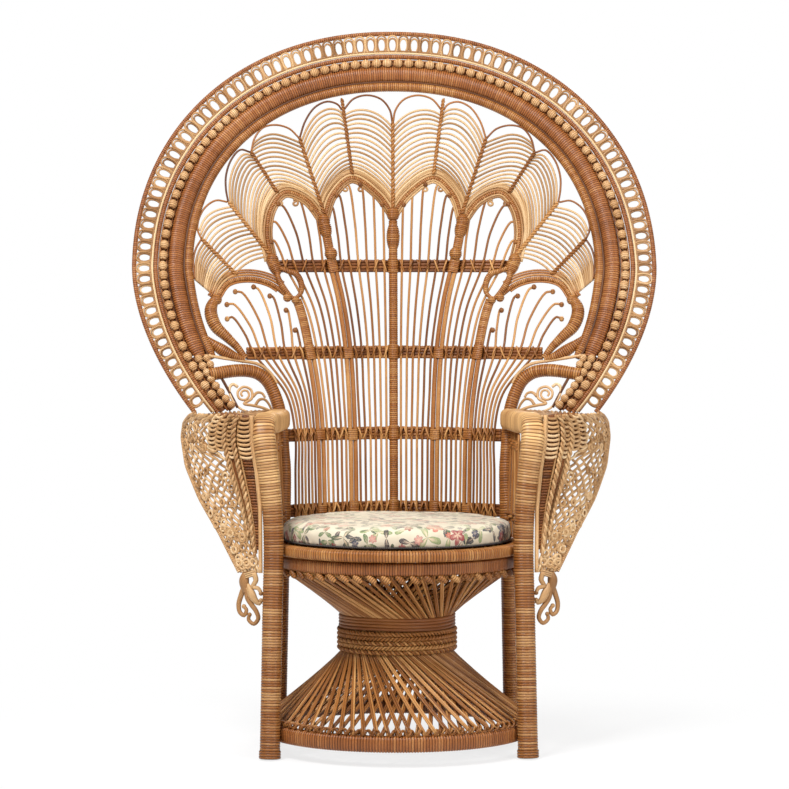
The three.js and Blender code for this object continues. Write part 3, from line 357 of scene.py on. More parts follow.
class Paint:
    """The nodes of a material or of the sky, written as nested calls."""

    def __init__(self, material, shader="Principled BSDF"):
        material.use_nodes = True
        self.material = material
        self.tree = material.node_tree
        self.shader = self.tree.nodes[shader]

    def feed(self, socket, source):
        if isinstance(source, bpy.types.NodeSocket):
            self.tree.links.new(source, socket)
        else:
            socket.default_value = source

    def give(self, **inputs):
        """Feeds inputs of the shader, named with _ for a space."""
        for name, source in inputs.items():
            self.feed(self.shader.inputs[name.replace("_", " ")], source)

    def node(self, kind, *sources, out=0, named=(), **settings):
        """Adds a node, feeds its inputs in order or by name, and hands back one output."""
        node = self.tree.nodes.new(f"ShaderNode{kind}")
        for name, value in settings.items():
            setattr(node, name, value)
        for socket, source in zip(node.inputs, sources):
            self.feed(socket, source)
        for name, source in dict(named).items():
            self.feed(node.inputs[name], source)
        return node.outputs[out]

    def sum(self, operation, *sources):
        return self.node("Math", *sources, operation=operation)

    def times(self, first, second):
        return self.sum("MULTIPLY", first, second)

    def plus(self, first, second):
        return self.sum("ADD", first, second)

    def vector(self, operation, *sources, out=0, **named):
        return self.node("VectorMath", *sources, out=out, named=named, operation=operation)

    def fact(self, name, output="Fac"):
        return self.node("Attribute", out=output, attribute_name=name)

    def spot(self, output="Object"):
        return self.node("TexCoord", out=output)

    def join(self, x, y, z):
        return self.node("CombineXYZ", x, y, z)

    def split(self, source):
        return self.node("SeparateXYZ", source).node.outputs

    def noise(self, where, scale, detail=2.0, roughness=0.5, output="Fac"):
        named = dict(Vector=where, Scale=scale, Detail=detail, Roughness=roughness)
        return self.node("TexNoise", out=output, named=named)

    def chance(self, value):
        return self.node("TexWhiteNoise", out="Value", named=dict(W=value), noise_dimensions="1D")

    def cells(self, where, scale):
        named = dict(Vector=where, Scale=scale, Randomness=0.8)
        return self.node("TexVoronoi", named=named, voronoi_dimensions="2D").node.outputs

    def ramp(self, value, stops):
        result = self.node("ValToRGB", value)
        elements = result.node.color_ramp.elements
        while len(elements) < len(stops):
            elements.new(0.5)
        for element, (place, colour) in zip(elements, stops):
            element.position = place
            element.color = (*colour, 1.0)
        return result

    def blend(self, share, first, second, kind="MIX"):
        node = self.node("Mix", data_type="RGBA", blend_type=kind).node
        for name, source in (("Factor_Float", share), ("A_Color", first), ("B_Color", second)):
            socket = next(s for s in node.inputs if s.identifier == name)
            self.feed(socket, (*source, 1.0) if isinstance(source, tuple) else source)
        return next(s for s in node.outputs if s.identifier == "Result_Color")

    def span(self, value, low, high, to_low=0.0, to_high=1.0):
        return self.node("MapRange", value, low, high, to_low, to_high, interpolation_type="SMOOTHSTEP")

    def ridge(self, width):
        """1 on a lap of wrapping and 0 in the groove beside it. A bare cane is 1 all over."""
        phase = self.sum("FRACT", self.fact("lap"))
        near = self.sum("MINIMUM", phase, self.sum("SUBTRACT", 1.0, phase))
        bare = self.sum("SUBTRACT", 1.0, self.fact("wound"))
        return self.sum("MAXIMUM", self.span(near, 0.03, width), bare)

    def bump(self, height, distance, strength):
        named = dict(Strength=strength, Distance=distance, Height=height)
        self.give(Normal=self.node("Bump", named=named))


def tint(red, green, blue):
    """A colour as it looks on a screen, 0 to 255, turned into the linear values that shaders use."""
    shares = [value / 255 for value in (red, green, blue)]
    return tuple(s / 12.92 if s <= 0.04045 else ((s + 0.055) / 1.055) ** 2.4 for s in shares)


print("a mid honey tone in shader values:", [round(v, 3) for v in tint(190, 130, 70)])

# %% [markdown]
# Rattan is a climbing palm. Its core is a pale honey round rod, and its skin, split off as flat cane, is
# glossier. No two strands match: each has its own tone and long fibres run along it. The grooves are
# painted darker, as painted shade. One recipe makes every cane finish here, and changes only the three
# tones, the fibre scale and the gloss. Wrapped pieces take a new tone for every lap, which is what makes
# a wound pole look wound.

# %% Cane finishes
FIBRE_SHARE = 0.36
PATCH_SHARE = 0.42
LAP_SHARE = 0.16
STRAND_SHARE = 0.4
LEAST_TONE = 0.11
TONE_STOPS = (0.18, 0.5, 0.82)
TONE_SHIFT = 57.0
GROOVE_EDGE = 0.23
# Rise and gain of the painted highlight above a height.
PAINTED_HIGHLIGHT_RISE = 0.2
PAINTED_HIGHLIGHT_GAIN = 0.19
# Colours that the grooves between laps are multiplied by: painted shade.
SHADE = (0.26, 0.16, 0.09)
SOFT_SHADE = (0.40, 0.28, 0.18)
LAP_FIBRES = (900.0, 5.0)
STRAND_FIBRES = (13.0, 3.0)


def cane(name, tones, fibres, roughness, groove_shade, by_lap=False, painted_highlight_above=None):
    """A cane finish from three tones. Above a height in metres it can be painted paler, as a painted
    highlight.
    """
    paint = Paint(bpy.data.materials.new(name))
    run, turn, tone = (paint.fact(fact) for fact in ("run", "turn", "tone"))
    strip = paint.chance(paint.sum("FLOOR", paint.fact("lap"))) if by_lap else tone
    where = [paint.times(run, fibres[0]), paint.times(turn, fibres[1]), paint.times(tone, TONE_SHIFT)]
    fibre = paint.noise(paint.join(*where), 1.0, 4.0, 0.6)
    patch = paint.noise(paint.spot(), 7.0, 3.0, 0.55)
    strip_share = LAP_SHARE if by_lap else STRAND_SHARE
    value = paint.plus(paint.times(strip, strip_share), paint.times(fibre, FIBRE_SHARE))
    value = paint.plus(value, paint.times(patch, PATCH_SHARE))
    value = paint.sum("SUBTRACT", value, strip_share / 2 - LEAST_TONE)
    if painted_highlight_above:
        # Above the height the tone is raised toward the top: a painted highlight.
        height = paint.split(paint.spot())[2]
        value = paint.plus(value, paint.span(height, painted_highlight_above, painted_highlight_above + PAINTED_HIGHLIGHT_RISE, 0.0, PAINTED_HIGHLIGHT_GAIN))
    colour = paint.ramp(value, [(stop, tint(*shade)) for stop, shade in zip(TONE_STOPS, tones)])
    # The grooves between laps are painted darker: painted shade.
    painted_groove_shade = paint.blend(1.0, colour, groove_shade, "MULTIPLY")
    ridge = paint.ridge(GROOVE_EDGE)
    gloss = paint.span(fibre, 0.2, 0.8, roughness - 0.1, roughness + 0.12)
    paint.give(Base_Color=paint.blend(ridge, painted_groove_shade, colour), Roughness=gloss)
    paint.give(Specular_IOR_Level=0.28, Coat_Weight=0.09, Coat_Roughness=0.28)
    paint.bump(paint.plus(fibre, paint.times(ridge, 0.8)), 0.0006, 0.6)
    return paint.material


def wrapped(name, *tones, roughness=0.38, shade=SHADE, painted_highlight_above=None):
    return cane(f"wrapped_{name}", tones, LAP_FIBRES, roughness, shade, True, painted_highlight_above)


def strand(name, *tones, roughness=0.46, shade=SHADE):
    return cane(f"strand_{name}", tones, STRAND_FIBRES, roughness, shade)


WRAPPED_GOLD = wrapped("gold", (102, 55, 20), (155, 97, 45), (212, 164, 102))
# The front poles are painted paler toward the arm fronts: a painted highlight.
WRAPPED_HIGHLIT = wrapped("highlit", (92, 49, 17), (140, 86, 38), (226, 184, 126), painted_highlight_above=0.42)
WRAPPED_BROWN = wrapped("brown", (92, 50, 20), (146, 87, 42), (192, 138, 84))
WRAPPED_PALE = wrapped(
    "pale", (140, 94, 52), (204, 160, 110), (242, 214, 172), roughness=0.42, shade=SOFT_SHADE
)
STRAND_PALE = strand("pale", (142, 100, 56), (194, 152, 104), (232, 204, 162), shade=SOFT_SHADE)
STRAND_FEATHER = strand("feather", (130, 92, 54), (178, 138, 92), (218, 188, 144), shade=SOFT_SHADE)
STRAND_CREAM = strand("cream", (192, 158, 112), (224, 198, 156), (244, 228, 198), shade=SOFT_SHADE)
STRAND_TAN = strand("tan", (108, 71, 38), (160, 116, 72), (208, 172, 124))
STRAND_HONEY = strand("honey", (94, 51, 20), (152, 97, 46), (210, 160, 100), roughness=0.44)
STRAND_DARK = strand("dark", (74, 38, 14), (124, 72, 32), (172, 114, 60), roughness=0.48)
# The shadow finish is painted shadow, for strips and lines that stand where shade falls.
STRAND_SHADOW = strand("shadow", (52, 27, 12), (86, 49, 24), (122, 76, 42), roughness=0.6)
print("cane finishes:", [m.name for m in bpy.data.materials if m.name.startswith(tuple(SLOTS))])

# %% [markdown]
# The base is an hourglass between hoops. A heavy hoop lies near the floor, one carries the seat, and a ring
# below the seat takes the upper ends of the strands. Each is a bent pole wound with split cane, so it is
# a tube whose line closes on itself. Winding leaves flat sides, so the section is a box with round corners.

# %% Hoops of the base and the seat
HOOP_POWER = 3.4
BASE_HOOP_WIDTH = 28.0
SEAT_HOOP_WIDTH = 32.0
APRON_WIDTH = 26.0


def wrapped_ring(node, width, finish, lap):
    """A hoop with a rounded box section, wound with split cane."""
    low, high = extent(node)
    path = circle(radius_of(node) - width / 2, (low[2] + high[2]) / 2, 360)
    tall = (high[2] - low[2]) / 2
    bundle = Bundle(11)
    bundle.tube(path, width / 2, tall, 18, outward, HOOP_POWER, closed=True, lap=lap, groove=0.07)
    bundle.piece(f"{node}_wrapped", finish, node)


wrapped_ring("base_hoop", BASE_HOOP_WIDTH, WRAPPED_BROWN, 5.6)
wrapped_ring("seat_hoop", SEAT_HOOP_WIDTH, WRAPPED_GOLD, 5.6)
wrapped_ring("seat_apron", APRON_WIDTH, WRAPPED_BROWN, 5.0)

# %% [markdown]
# Strands run from the floor hoop to a narrow waist and out again to the seat, one layer twisting each way so
# that neither can fold. Modelled as a surface the base would look like a vase. As straight strands between
# rings it gets the see-through lattice of the real one for nothing. Every strand is a pair of thin canes
# laid side by side, and each pair strays a little, as it does when it is tied by hand.

# %% Two layers of strands
STRAND_COUNT = 70
STRAND_RADIUS = 2.25
STRAND_PAIR = 2.3
STRAND_TWIST = math.radians(31)
WAIST_RADIUS = 111.0
WAIST_BOTTOM = 198.0
WAIST_TOP = 271.0
LAYER_STEP = 12.5
STRAND_STRAY = 0.006
LEG_POINTS = 9
HOOP_SET_IN = 8.5
APRON_SET_IN = 6.5
BASE_TOP = extent("base_hoop")[1][2]
APRON_FLOOR = extent("seat_apron")[0][2]
BASE_SEAT = radius_of("base_hoop") - HOOP_SET_IN
APRON_SEAT = radius_of("seat_apron") - APRON_SET_IN


def polar(radius, angle, z):
    return np.array([radius * math.cos(angle), radius * math.sin(angle), z])


def strand_layer(bundle, inset, turn):
    for k in range(STRAND_COUNT):
        stray = bundle.draw.normal(0, STRAND_STRAY, 3)
        angle = 2 * math.pi * (k + 0.25 + 0.25 * turn) / STRAND_COUNT
        stops = [
            (BASE_SEAT - inset, angle + STRAND_TWIST * turn + stray[0], BASE_TOP),
            (WAIST_RADIUS - inset, angle + stray[1], WAIST_BOTTOM),
            (WAIST_RADIUS - inset, angle + stray[1], WAIST_TOP),
            (APRON_SEAT - inset, angle - STRAND_TWIST * turn + stray[2], APRON_FLOOR),
        ]
        for beside in (-STRAND_PAIR, STRAND_PAIR):
            corners = [polar(radius, spin + beside / radius, z) for radius, spin, z in stops]
            legs = [np.linspace(a, b, LEG_POINTS)[1:] for a, b in zip(corners, corners[1:])]
            bundle.tube(np.vstack([corners[0], *legs]), STRAND_RADIUS, ref=outward)


outer_layer = Bundle(21)
strand_layer(outer_layer, 0.0, 1)
inner_layer = Bundle(22)
strand_layer(inner_layer, LAYER_STEP, -1)
inner_layer.piece("hourglass_inner_layer", STRAND_HONEY, "hourglass_strands_inner")

# %% [markdown]
# The waist is held by a flat plait with plain cords wound above it. From close by the plait is rows of
# twisted pairs, stacked so that each row twists against the one below, which gives the herringbone. A
# twisted pair is two helices half a turn apart, so the plait needs no hand-drawn points.

# %% Plait and bindings at the waist
PLAIT_LEVELS = (205.0, 214.2, 223.4, 232.6, 241.8)
PLAIT_TURNS = 46
PLAIT_REACH = 2.6
PLAIT_CANE = 2.5
PLAIT_OUT = 6.0
BINDING_LEVELS = (251.0, 257.5, 264.0, 270.0)
BINDING_CANE = 3.7
BINDING_OUT = 4.0


def winding_ring(radius, z, reach, turns, steps, start=0.0):
    """A line that winds round a ring, turns times to the right or, if less than 0, to the left."""
    spin = np.linspace(0, 2 * np.pi, abs(turns) * steps + 1)
    swing = turns * spin + start
    away = radius + reach * np.cos(swing)
    return np.stack([away * np.cos(spin), away * np.sin(spin), z + reach * np.sin(swing)], axis=1)


outer_layer.piece("hourglass_outer_layer", STRAND_HONEY, "hourglass_strands_outer")
plait = Bundle(23)
for number, z in enumerate(PLAIT_LEVELS):
    turns = PLAIT_TURNS if number % 2 else -PLAIT_TURNS
    for start in (0, np.pi):
        path = winding_ring(WAIST_RADIUS + PLAIT_OUT, z, PLAIT_REACH, turns, 14, start + 0.7 * z)
        plait.tube(path, PLAIT_CANE, ref=outward, closed=True)
plait.piece("waist_plait", STRAND_HONEY)
binding = Bundle(24)
for z in BINDING_LEVELS:
    path = circle(WAIST_RADIUS + BINDING_OUT, z)
    path[:, 2] += 1.2 * np.sin(3 * np.linspace(0, 2 * np.pi, len(path)) + z)
    binding.tube(path, BINDING_CANE, sides=8, ref=outward, closed=True)
binding.piece("waist_binding_cords", STRAND_DARK, "waist_binding")

# %% [markdown]
# Where the strands reach a hoop their ends are bent over and stitched down. At the floor that makes a row
# of small coils along the hoop, and under the apron a row of fat knots. A coil is a circle carried along a
# circle.

# %% Stitches and knots at the hoops
COIL_TURNS = 96
KNOT_COUNT = 54
KNOT_LEAN = 0.75
KNOT_RADIUS = 6.6
COILS = (
    (BASE_SEAT, BASE_TOP + 4.5, 5.5, 2.3),
    (BASE_SEAT - LAYER_STEP, BASE_TOP + 4.0, 5.0, 2.2),
)
APRON_COIL = (APRON_SEAT - 9, APRON_FLOOR - 3, 5.0, 2.2)


def coil(bundle, radius, z, reach, thick):
    bundle.tube(winding_ring(radius, z, reach, COIL_TURNS, 10), thick, closed=True)


edging = Bundle(31)
for stitches in COILS:
    coil(edging, *stitches)
for k in range(KNOT_COUNT):
    angle = 2 * math.pi * (k + 0.5) / KNOT_COUNT
    spot = polar(APRON_SEAT + 1, angle, APRON_FLOOR - 6)
    lean = [-math.sin(angle), math.cos(angle), -KNOT_LEAN]
    edging.ball(spot, KNOT_RADIUS, axis=lean, long=1.75, sides=12, lap=4.2, groove=0.2)
coil(edging, *APRON_COIL)
edging.piece("hoop_edging", STRAND_HONEY)

# %% [markdown]
# The deck under the cushion is a mat of canes laid side by side across the hoop, on two bars. Nobody sees
# it with the cushion in place, but the cushion lifts out, so the mat has to be there.

# %% Seat deck and bars
DECK_PITCH = 9.0
DECK_CANE = 4.2
DECK_BINDERS = (-140.0, -70.0, 0.0, 70.0, 140.0)
BINDER_CANE = 2.6
DECK_PLAY = 0.8


def deck_mat():
    bundle = Bundle(41)
    edge = radius_of("seat_deck") - 1
    level = SEAT_HEIGHT - DECK_CANE - DECK_PLAY
    for x in np.arange(-edge + DECK_PITCH, edge, DECK_PITCH):
        half = math.sqrt(edge * edge - x * x)
        bundle.tube([[x, -half, level], [x, 0, level], [x, half, level]], DECK_CANE, sides=8)
    level = SEAT_HEIGHT - 2 * DECK_CANE - 2 * DECK_PLAY
    for y in DECK_BINDERS:
        half = math.sqrt(edge * edge - y * y)
        bundle.tube([[-half, y, level], [0, y, level], [half, y, level]], BINDER_CANE)
    bundle.piece("seat_mat", STRAND_HONEY, "seat_deck")


def seat_bar(node):
    low, high = extent(node)
    middle = (low + high) / 2
    ends = np.array([[middle[0], low[1], middle[2]], [middle[0], high[1], middle[2]]])
    bar = Bundle(42)
    bar.tube(respaced(ends, 80), (high[2] - low[2]) / 2, sides=12, lap=6.0, groove=0.06)
    bar.piece(f"{node}_wrapped", WRAPPED_GOLD, node)


deck_mat()
for _, word in SIDES:
    seat_bar(f"seat_bar_{word}")

# %% [markdown]
# Each front leg and arm rail is one bent pole. It rises beside the seat, swells into a broad arm front and
# turns back along the arm. Only its width swells, so its section is an oval whose two half sizes follow
# separate rules. The rear pole rises straight, thins above the seat and bends over into the shoulder that
# carries the halo.

# %% Legs, arms and shoulders
FRONT_SEAT_SPOT = (247.7, -126.2)
FRONT_BASE_SPOT = (255.4, -156.4)
REAR_SEAT_SPOT = (235.8, 143.9)
REAR_BASE_SPOT = (245.1, 167.2)
FRONT_RADIUS = 20.3
REAR_RADIUS = 18.2
SHOULDER_RADIUS = 13.6
ARM_HEIGHT = 681.0
RAIL_HALF = 22.0
ARM_FRONT_HALF = 23.5
ARM_FRONT_POWER = 3.4
FOOT_CUFF = (2.0, 9.5, 18.0)
FRONT_CUFF_THICK = 1.6
REAR_CUFF_THICK = 1.4
LEG_LEVELS = (1.6, 140, 280, 420)
SHOULDER_LINE = [(231, 560), (237, 650), (243, 686), (264, 735), (289, 755), (324, 760), (386, 752)]
RAIL_LEVEL = ARM_HEIGHT - RAIL_HALF


def leg(base, seat, levels):
    """Points of a leg at some heights, on the straight line from its base through the seat."""
    return [np.array([*lerp(np.array(base), np.array(seat), z / SEAT_HEIGHT), z]) for z in levels]


def ease(value, low, high):
    share = np.clip((value - low) / (high - low), 0, 1)
    return share * share * (3 - 2 * share)


def front_pole(side, word):
    bundle = Bundle(51)
    y = FRONT_SEAT_SPOT[1]
    rail_end = on_back([(239, RAIL_LEVEL - RAIL_HALF)])[0]
    bends = [
        (250, y, 490), (257, y + 1, 560), (264, y + 4, 615), (267, y + 16, 646), (265, y + 40, RAIL_LEVEL),
        (255, y + 120, RAIL_LEVEL), (rail_end[0] + 2, rail_end[1] - SHOULDER_RADIUS, RAIL_LEVEL),
    ]
    path = smooth([*leg(FRONT_BASE_SPOT, FRONT_SEAT_SPOT, LEG_LEVELS), *bends], 6.0)
    total = lengths(path)[-1]
    wide = lambda u: lerp(FRONT_RADIUS, ARM_FRONT_HALF, ease(u * total, 480, 650))
    thick = lambda u: lerp(FRONT_RADIUS, RAIL_HALF, ease(u * total, 420, 600))
    boxy = lambda u: lerp(2.1, ARM_FRONT_POWER, ease(u * total, 560, 660))
    bundle.tube(mirrored(path, side), wide, thick, 24, ACROSS, boxy, lap=5.5, groove=0.05)
    foot = mirrored(leg(FRONT_BASE_SPOT, FRONT_SEAT_SPOT, FOOT_CUFF), side)
    bundle.tube(foot, FRONT_RADIUS + FRONT_CUFF_THICK, sides=22, ref=ACROSS, lap=5.0, groove=0.05)
    bundle.piece(f"front_pole_{word}_wrapped", WRAPPED_HIGHLIT, f"front_pole_{word}")


def rear_pole(side, word):
    bundle = Bundle(52)
    shoulder = on_back(smooth(SHOULDER_LINE, 30.0))
    path = smooth([*leg(REAR_BASE_SPOT, REAR_SEAT_SPOT, LEG_LEVELS), *shoulder], 6.0)
    slim = lambda u: lerp(REAR_RADIUS, SHOULDER_RADIUS, ease(u * lengths(path)[-1], 430, 640))
    bundle.tube(mirrored(path, side), slim, sides=18, ref=np.array([0.0, -1.0, 0.2]), lap=5.2, groove=0.06)
    foot = mirrored(leg(REAR_BASE_SPOT, REAR_SEAT_SPOT, FOOT_CUFF), side)
    bundle.tube(foot, REAR_RADIUS + REAR_CUFF_THICK, sides=18, ref=ACROSS, lap=5.0, groove=0.05)
    bundle.piece(f"rear_pole_{word}_wrapped", WRAPPED_GOLD, f"rear_pole_{word}")


for side, word in SIDES:
    front_pole(side, word)
    rear_pole(side, word)

# %% [markdown]
# The back is a fan of bays. Ribs stand on the seat hoop, and between them thin spokes rise, spread out and
# hook over under an arch. The centre rib is wrapped, and the ones beside it are pairs of bare canes bound
# at the bands. All of them are drawn flat as height and half-width pairs and lifted onto the shell.

# %% Ribs
RIB_RADIUS = 9.5
TWIN_RADIUS = 5.0
RIB_LINES = [
    [(420, 0), (1075, 0)],
    [(420, 84), (625, 87), (796, 96), (906, 112), (979, 129), (1061, 145)],
    [(420, 150), (625, 155), (696, 161), (796, 177), (906, 205), (975, 249)],
]
BAY_EDGE = [(420, 210), (625, 211), (683, 221), (742, 243), (772, 268), (796, 303), (850, 340), (905, 362)]
CUSPS = [(0, 1088), (148, 1073), (257, 989)]
CROWN_STEMS = [(0, 1060), (141, 1040), (247, 966)]
RIB_SPLIT = 908.0
RIB_NAMES = ("centre", "inner", "outer")
CENTRE_KNOT = (0, 1040)
RIB_KNOT = (133, 1004)
RIB_KNOT_RADIUS = 14.0
KNOT_WRAP = dict(sides=16, lap=4.0, groove=0.1)
BAND_LEVELS = (469, 625, 796, 979)
BAND_HALF = 13.0
CENTRE_TIE_HALF = 15
CENTRE_TIE_THICK = 2.0
TIE_HALF = 16
TIE_THICK = 1.4
TOP_TIES = {1: (994, 1058), 2: (796, RIB_SPLIT)}


def width_at(pairs, z):
    heights, halves = zip(*pairs)
    return np.interp(z, heights, halves)


def rib_drawing(index):
    return smooth([(half, height) for height, half in RIB_LINES[index]], 8.0)


def centre_rib():
    bundle = Bundle(61)
    bundle.lay(rib_drawing(0), RIB_RADIUS, sides=16, lap=4.4, groove=0.07)
    bundle.knot(CENTRE_KNOT, 14.5, 1.0, long=2.3, sides=16, lap=4.0, groove=0.08)
    for z in BAND_LEVELS:
        tie = [(0, z - CENTRE_TIE_HALF), (0, z), (0, z + CENTRE_TIE_HALF)]
        bundle.lay(tie, RIB_RADIUS + CENTRE_TIE_THICK, sides=16, lap=3.6, groove=0.1)
    bundle.piece("back_rib_centre_wrapped", WRAPPED_GOLD, "back_rib_centre")


def twin_rib(index, side, word):
    """Two bare canes side by side, bound with cane at every band and wrapped near the top."""
    bundle = Bundle(62 + index)
    drawing = rib_drawing(index)
    if index == 2:
        drawing = drawing[drawing[:, 1] < RIB_SPLIT]
    for shift in (-TWIN_RADIUS, TWIN_RADIUS):
        bundle.lay(drawing + np.array([shift, 0.0]), TWIN_RADIUS - 0.2, side=side, sides=10)
    ties = [(z - TIE_HALF, z + TIE_HALF, TIE_THICK) for z in BAND_LEVELS[: 4 if index == 1 else 3]]
    for low, high, thick in [*ties, (*TOP_TIES[index], 0.0)]:
        part = drawing[(drawing[:, 1] > low) & (drawing[:, 1] < high)]
        wide = 2 * TWIN_RADIUS + thick
        deep = TWIN_RADIUS + TIE_THICK
        bundle.lay(part, deep, side=side, tall=wide, sides=16, power=2.6, lap=4.0, groove=0.09)
    if index == 1:
        bundle.knot(RIB_KNOT, RIB_KNOT_RADIUS, 3.0, side, **KNOT_WRAP)
    crown = mirrored(on_back([CUSPS[index]], 1.0), side)[0]
    below = mirrored(on_back([CROWN_STEMS[index]]), side)[0]
    bundle.ball(lerp(crown, below, 0.45), RIB_KNOT_RADIUS, axis=crown - below, long=1.7, **KNOT_WRAP)
    node = f"back_rib_{RIB_NAMES[index]}_{word}"
    bundle.piece(f"{node}_canes", WRAPPED_GOLD, node)


centre_rib()
for side, word in SIDES:
    for index in (1, 2):
        twin_rib(index, side, word)

# %% [markdown]
# Spokes are the thinnest uprights. Each one keeps its share of the bay from the seat to the top band, then
# leans out toward the arch above and hooks over at the end, where a ball knot ties it. Sharing the bay
# keeps the spokes from crossing, however the ribs bend.

# %% Spokes
SPOKE_RADIUS = 2.6
SPOKE_KNOT = 5.6
SPOKES_PER_BAY = (6, 5, 7)
ARCHES = [
    [CUSPS[0], (32, 1131), (88, 1166), (130, 1128), CUSPS[1]],
    [CUSPS[1], (184, 1118), (230, 1134), (259, 1100), (268, 1046), CUSPS[2]],
]
SIDE_ARCH = [(222, 912), (262, 941), (308, 951), (350, 941), (374, 906)]
SIDE_TIPS = [(209, 842), (228, 884), (262, 914), (296, 933), (334, 923), (351, 896), (350, 866)]
BAY_NAMES = ("inner", "middle", "outer")
ARCH_ROOM = 9.0


def spoke_x(bay, z, share):
    inner = width_at(RIB_LINES[bay], z) + RIB_RADIUS
    outer = width_at(RIB_LINES[bay + 1], z) - RIB_RADIUS if bay < 2 else width_at(BAY_EDGE, z)
    return lerp(inner, outer, share)


def spoke_drawing(bay, k):
    share = (k + 0.5) / SPOKES_PER_BAY[bay]
    top_band = BAND_LEVELS[3] if bay < 2 else BAND_LEVELS[2]
    levels = [z for z in (421, 469, 547, 625, 710, 796, 890, 979) if z <= top_band]
    points = [(spoke_x(bay, z, share), z) for z in levels]
    if bay < 2:
        tip = respaced(smooth(ARCHES[bay], 4.0), 101)[int(8 + 84 * share)]
        heart = np.array([spoke_x(bay, top_band, 0.5), top_band])
        tip = tip + (heart - tip) / np.linalg.norm(heart - tip) * ARCH_ROOM
    else:
        tip = np.array(SIDE_TIPS[k], float)
    last = np.array(points[-1])
    lean = np.array([lerp(last[0], tip[0], 0.32), lerp(last[1], tip[1], 0.55)])
    crown = np.array([lerp(last[0], tip[0], 0.82), tip[1] - 3 + 9 * abs(2 * share - 1)])
    return smooth([*points, lean, crown, tip], 7.0), tip


def back_bay(bay, side, word):
    bundle = Bundle(70 + bay)
    for k in range(SPOKES_PER_BAY[bay]):
        drawing, tip = spoke_drawing(bay, k)
        bundle.lay(drawing, SPOKE_RADIUS, side=side, sides=7)
        if k % 2 == 0 or bay == 2:
            bundle.knot(tip, SPOKE_KNOT, 1.5, side, long=1.05, lap=2.8, groove=0.14)
    node = f"back_bay_{BAY_NAMES[bay]}_{word}"
    bundle.piece(f"{node}_spokes", STRAND_HONEY, node)


for side, word in SIDES:
    for bay in range(3):
        back_bay(bay, side, word)

# %% [markdown]
# The bands that cross the back are lashed, not woven: dark canes run behind the spokes, and a thin cane
# wraps over each spoke on a slant, first one way and then the other. The crossings are found from the
# spokes themselves, so the lashings always sit on them. Behind a rib the canes step back far enough to
# clear it.

# %% Lashed bands
BAND_CANES = 4
BAND_CANE = 3.7
BAND_STEP_BACK = 5.6
RIB_STEP_BACK = 12.0
LASHING_CANE = 1.9
LASHING_SLANT = 4.6
LASHING_LIFT = 4.4


def crossings(level):
    """Half-widths at which a band meets spokes and ribs, with True at a rib."""
    found = [(0.0, True)]
    bays = 3 if level < BAND_LEVELS[3] else 2
    for bay in range(bays):
        count = SPOKES_PER_BAY[bay]
        found += [(float(spoke_x(bay, level, (k + 0.5) / count)), False) for k in range(count)]
        if bay < 2:
            found.append((float(width_at(RIB_LINES[bay + 1], level)), True))
    left = [(-x, rib) for x, rib in found[1:]]
    return sorted(left + found)


def lashed_band(number, level):
    bundle = Bundle(80 + number)
    lashing = Bundle(85 + number)
    met = crossings(level)
    reach = met[-1][0] + (6 if met[-1][1] else 12)
    steps = [-RIB_STEP_BACK if rib else -BAND_STEP_BACK for x, rib in met]
    for row in range(BAND_CANES):
        z = level + (row - (BAND_CANES - 1) / 2) * 2 * BAND_HALF / BAND_CANES
        drawing = [(-reach, z), *((x, z) for x, rib in met), (reach, z)]
        wave = smooth(np.column_stack([np.array(drawing, float), [-4.0, *steps, -4.0]]), 4.0)
        bundle.tube(on_back(wave[:, :2], wave[:, 2]), BAND_CANE, sides=7, ref=UP)
    for k, (x, rib) in enumerate(met):
        if rib:
            continue
        lean = LASHING_SLANT if k % 2 else -LASHING_SLANT
        drawing = smooth([(x - lean, level - BAND_HALF), (x, level), (x + lean, level + BAND_HALF)], 4.0)
        lift = SPOKE_RADIUS + LASHING_LIFT * np.sin(np.pi * np.linspace(0, 1, len(drawing))) - 3.0
        lashing.lay(drawing, LASHING_CANE, lift)
    bundle.piece(f"back_band_{number + 1}", STRAND_DARK)
    lashing.piece(f"back_band_{number + 1}_lashing", STRAND_HONEY)


for number, level in enumerate(BAND_LEVELS):
    lashed_band(number, level)

# %% [markdown]
# The fan's scalloped border is a rope of parallel canes bent over the bays, tied by knots at the cusps.
# A single thick tube would look cast, so bare canes run on both sides of a wrapped one.
# Little curls hang inside each arch, each a spiral whose radius shrinks as it turns.

# %% Scalloped border and side arches
BORDER_CANES = ((-9.4, 2.5), (-4.4, 2.8), (6.4, 2.8), (11.4, 2.3))
BORDER_CORE = 4.4
ARCH_CANES = ((7.8, 2.7), (13.0, 2.5), (17.8, 2.2), (-6.8, 2.3))
ARCH_CORE = 5.2
ARCH_KNOTS = [((209, 905), 9.0), ((226, 910), 9.5), ((372, 905), 10.5)]
CURL_RADIUS = 2.6
CURL_REACH = 7.5
CURL_DROP = 23
CURLS = ((-15, 60, 1.2), (16, 120, -1.2))
STILE = [(374, 912), (384, 884), (374, 852), (350, 828), (328, 806), (312, 784)]
STILE_KNOT = [(392, 826), (369, 808), (342, 791), (314, 780)]
ARCH_LEAVES = [
    [(250, 974), (244, 946), (231, 925), (213, 906)],
    [(211, 906), (198, 920), (198, 942), (209, 960), (228, 966), (249, 975)],
]


def offset_drawing(drawing, away):
    """The same drawing moved sideways, away counts to its left."""
    along = np.gradient(drawing, axis=0)
    along /= np.linalg.norm(along, axis=1, keepdims=True)
    return drawing + away * np.stack([-along[:, 1], along[:, 0]], axis=1)


def curl_drawing(centre, reach, start, turns, shrink=0.25):
    angles = np.linspace(0, 2 * np.pi * turns, int(24 * abs(turns)))
    radius = reach * lerp(1.0, shrink, angles / angles[-1])
    spin = math.radians(start) + angles
    return np.stack([centre[0] + radius * np.cos(spin), centre[1] + radius * np.sin(spin)], axis=1)


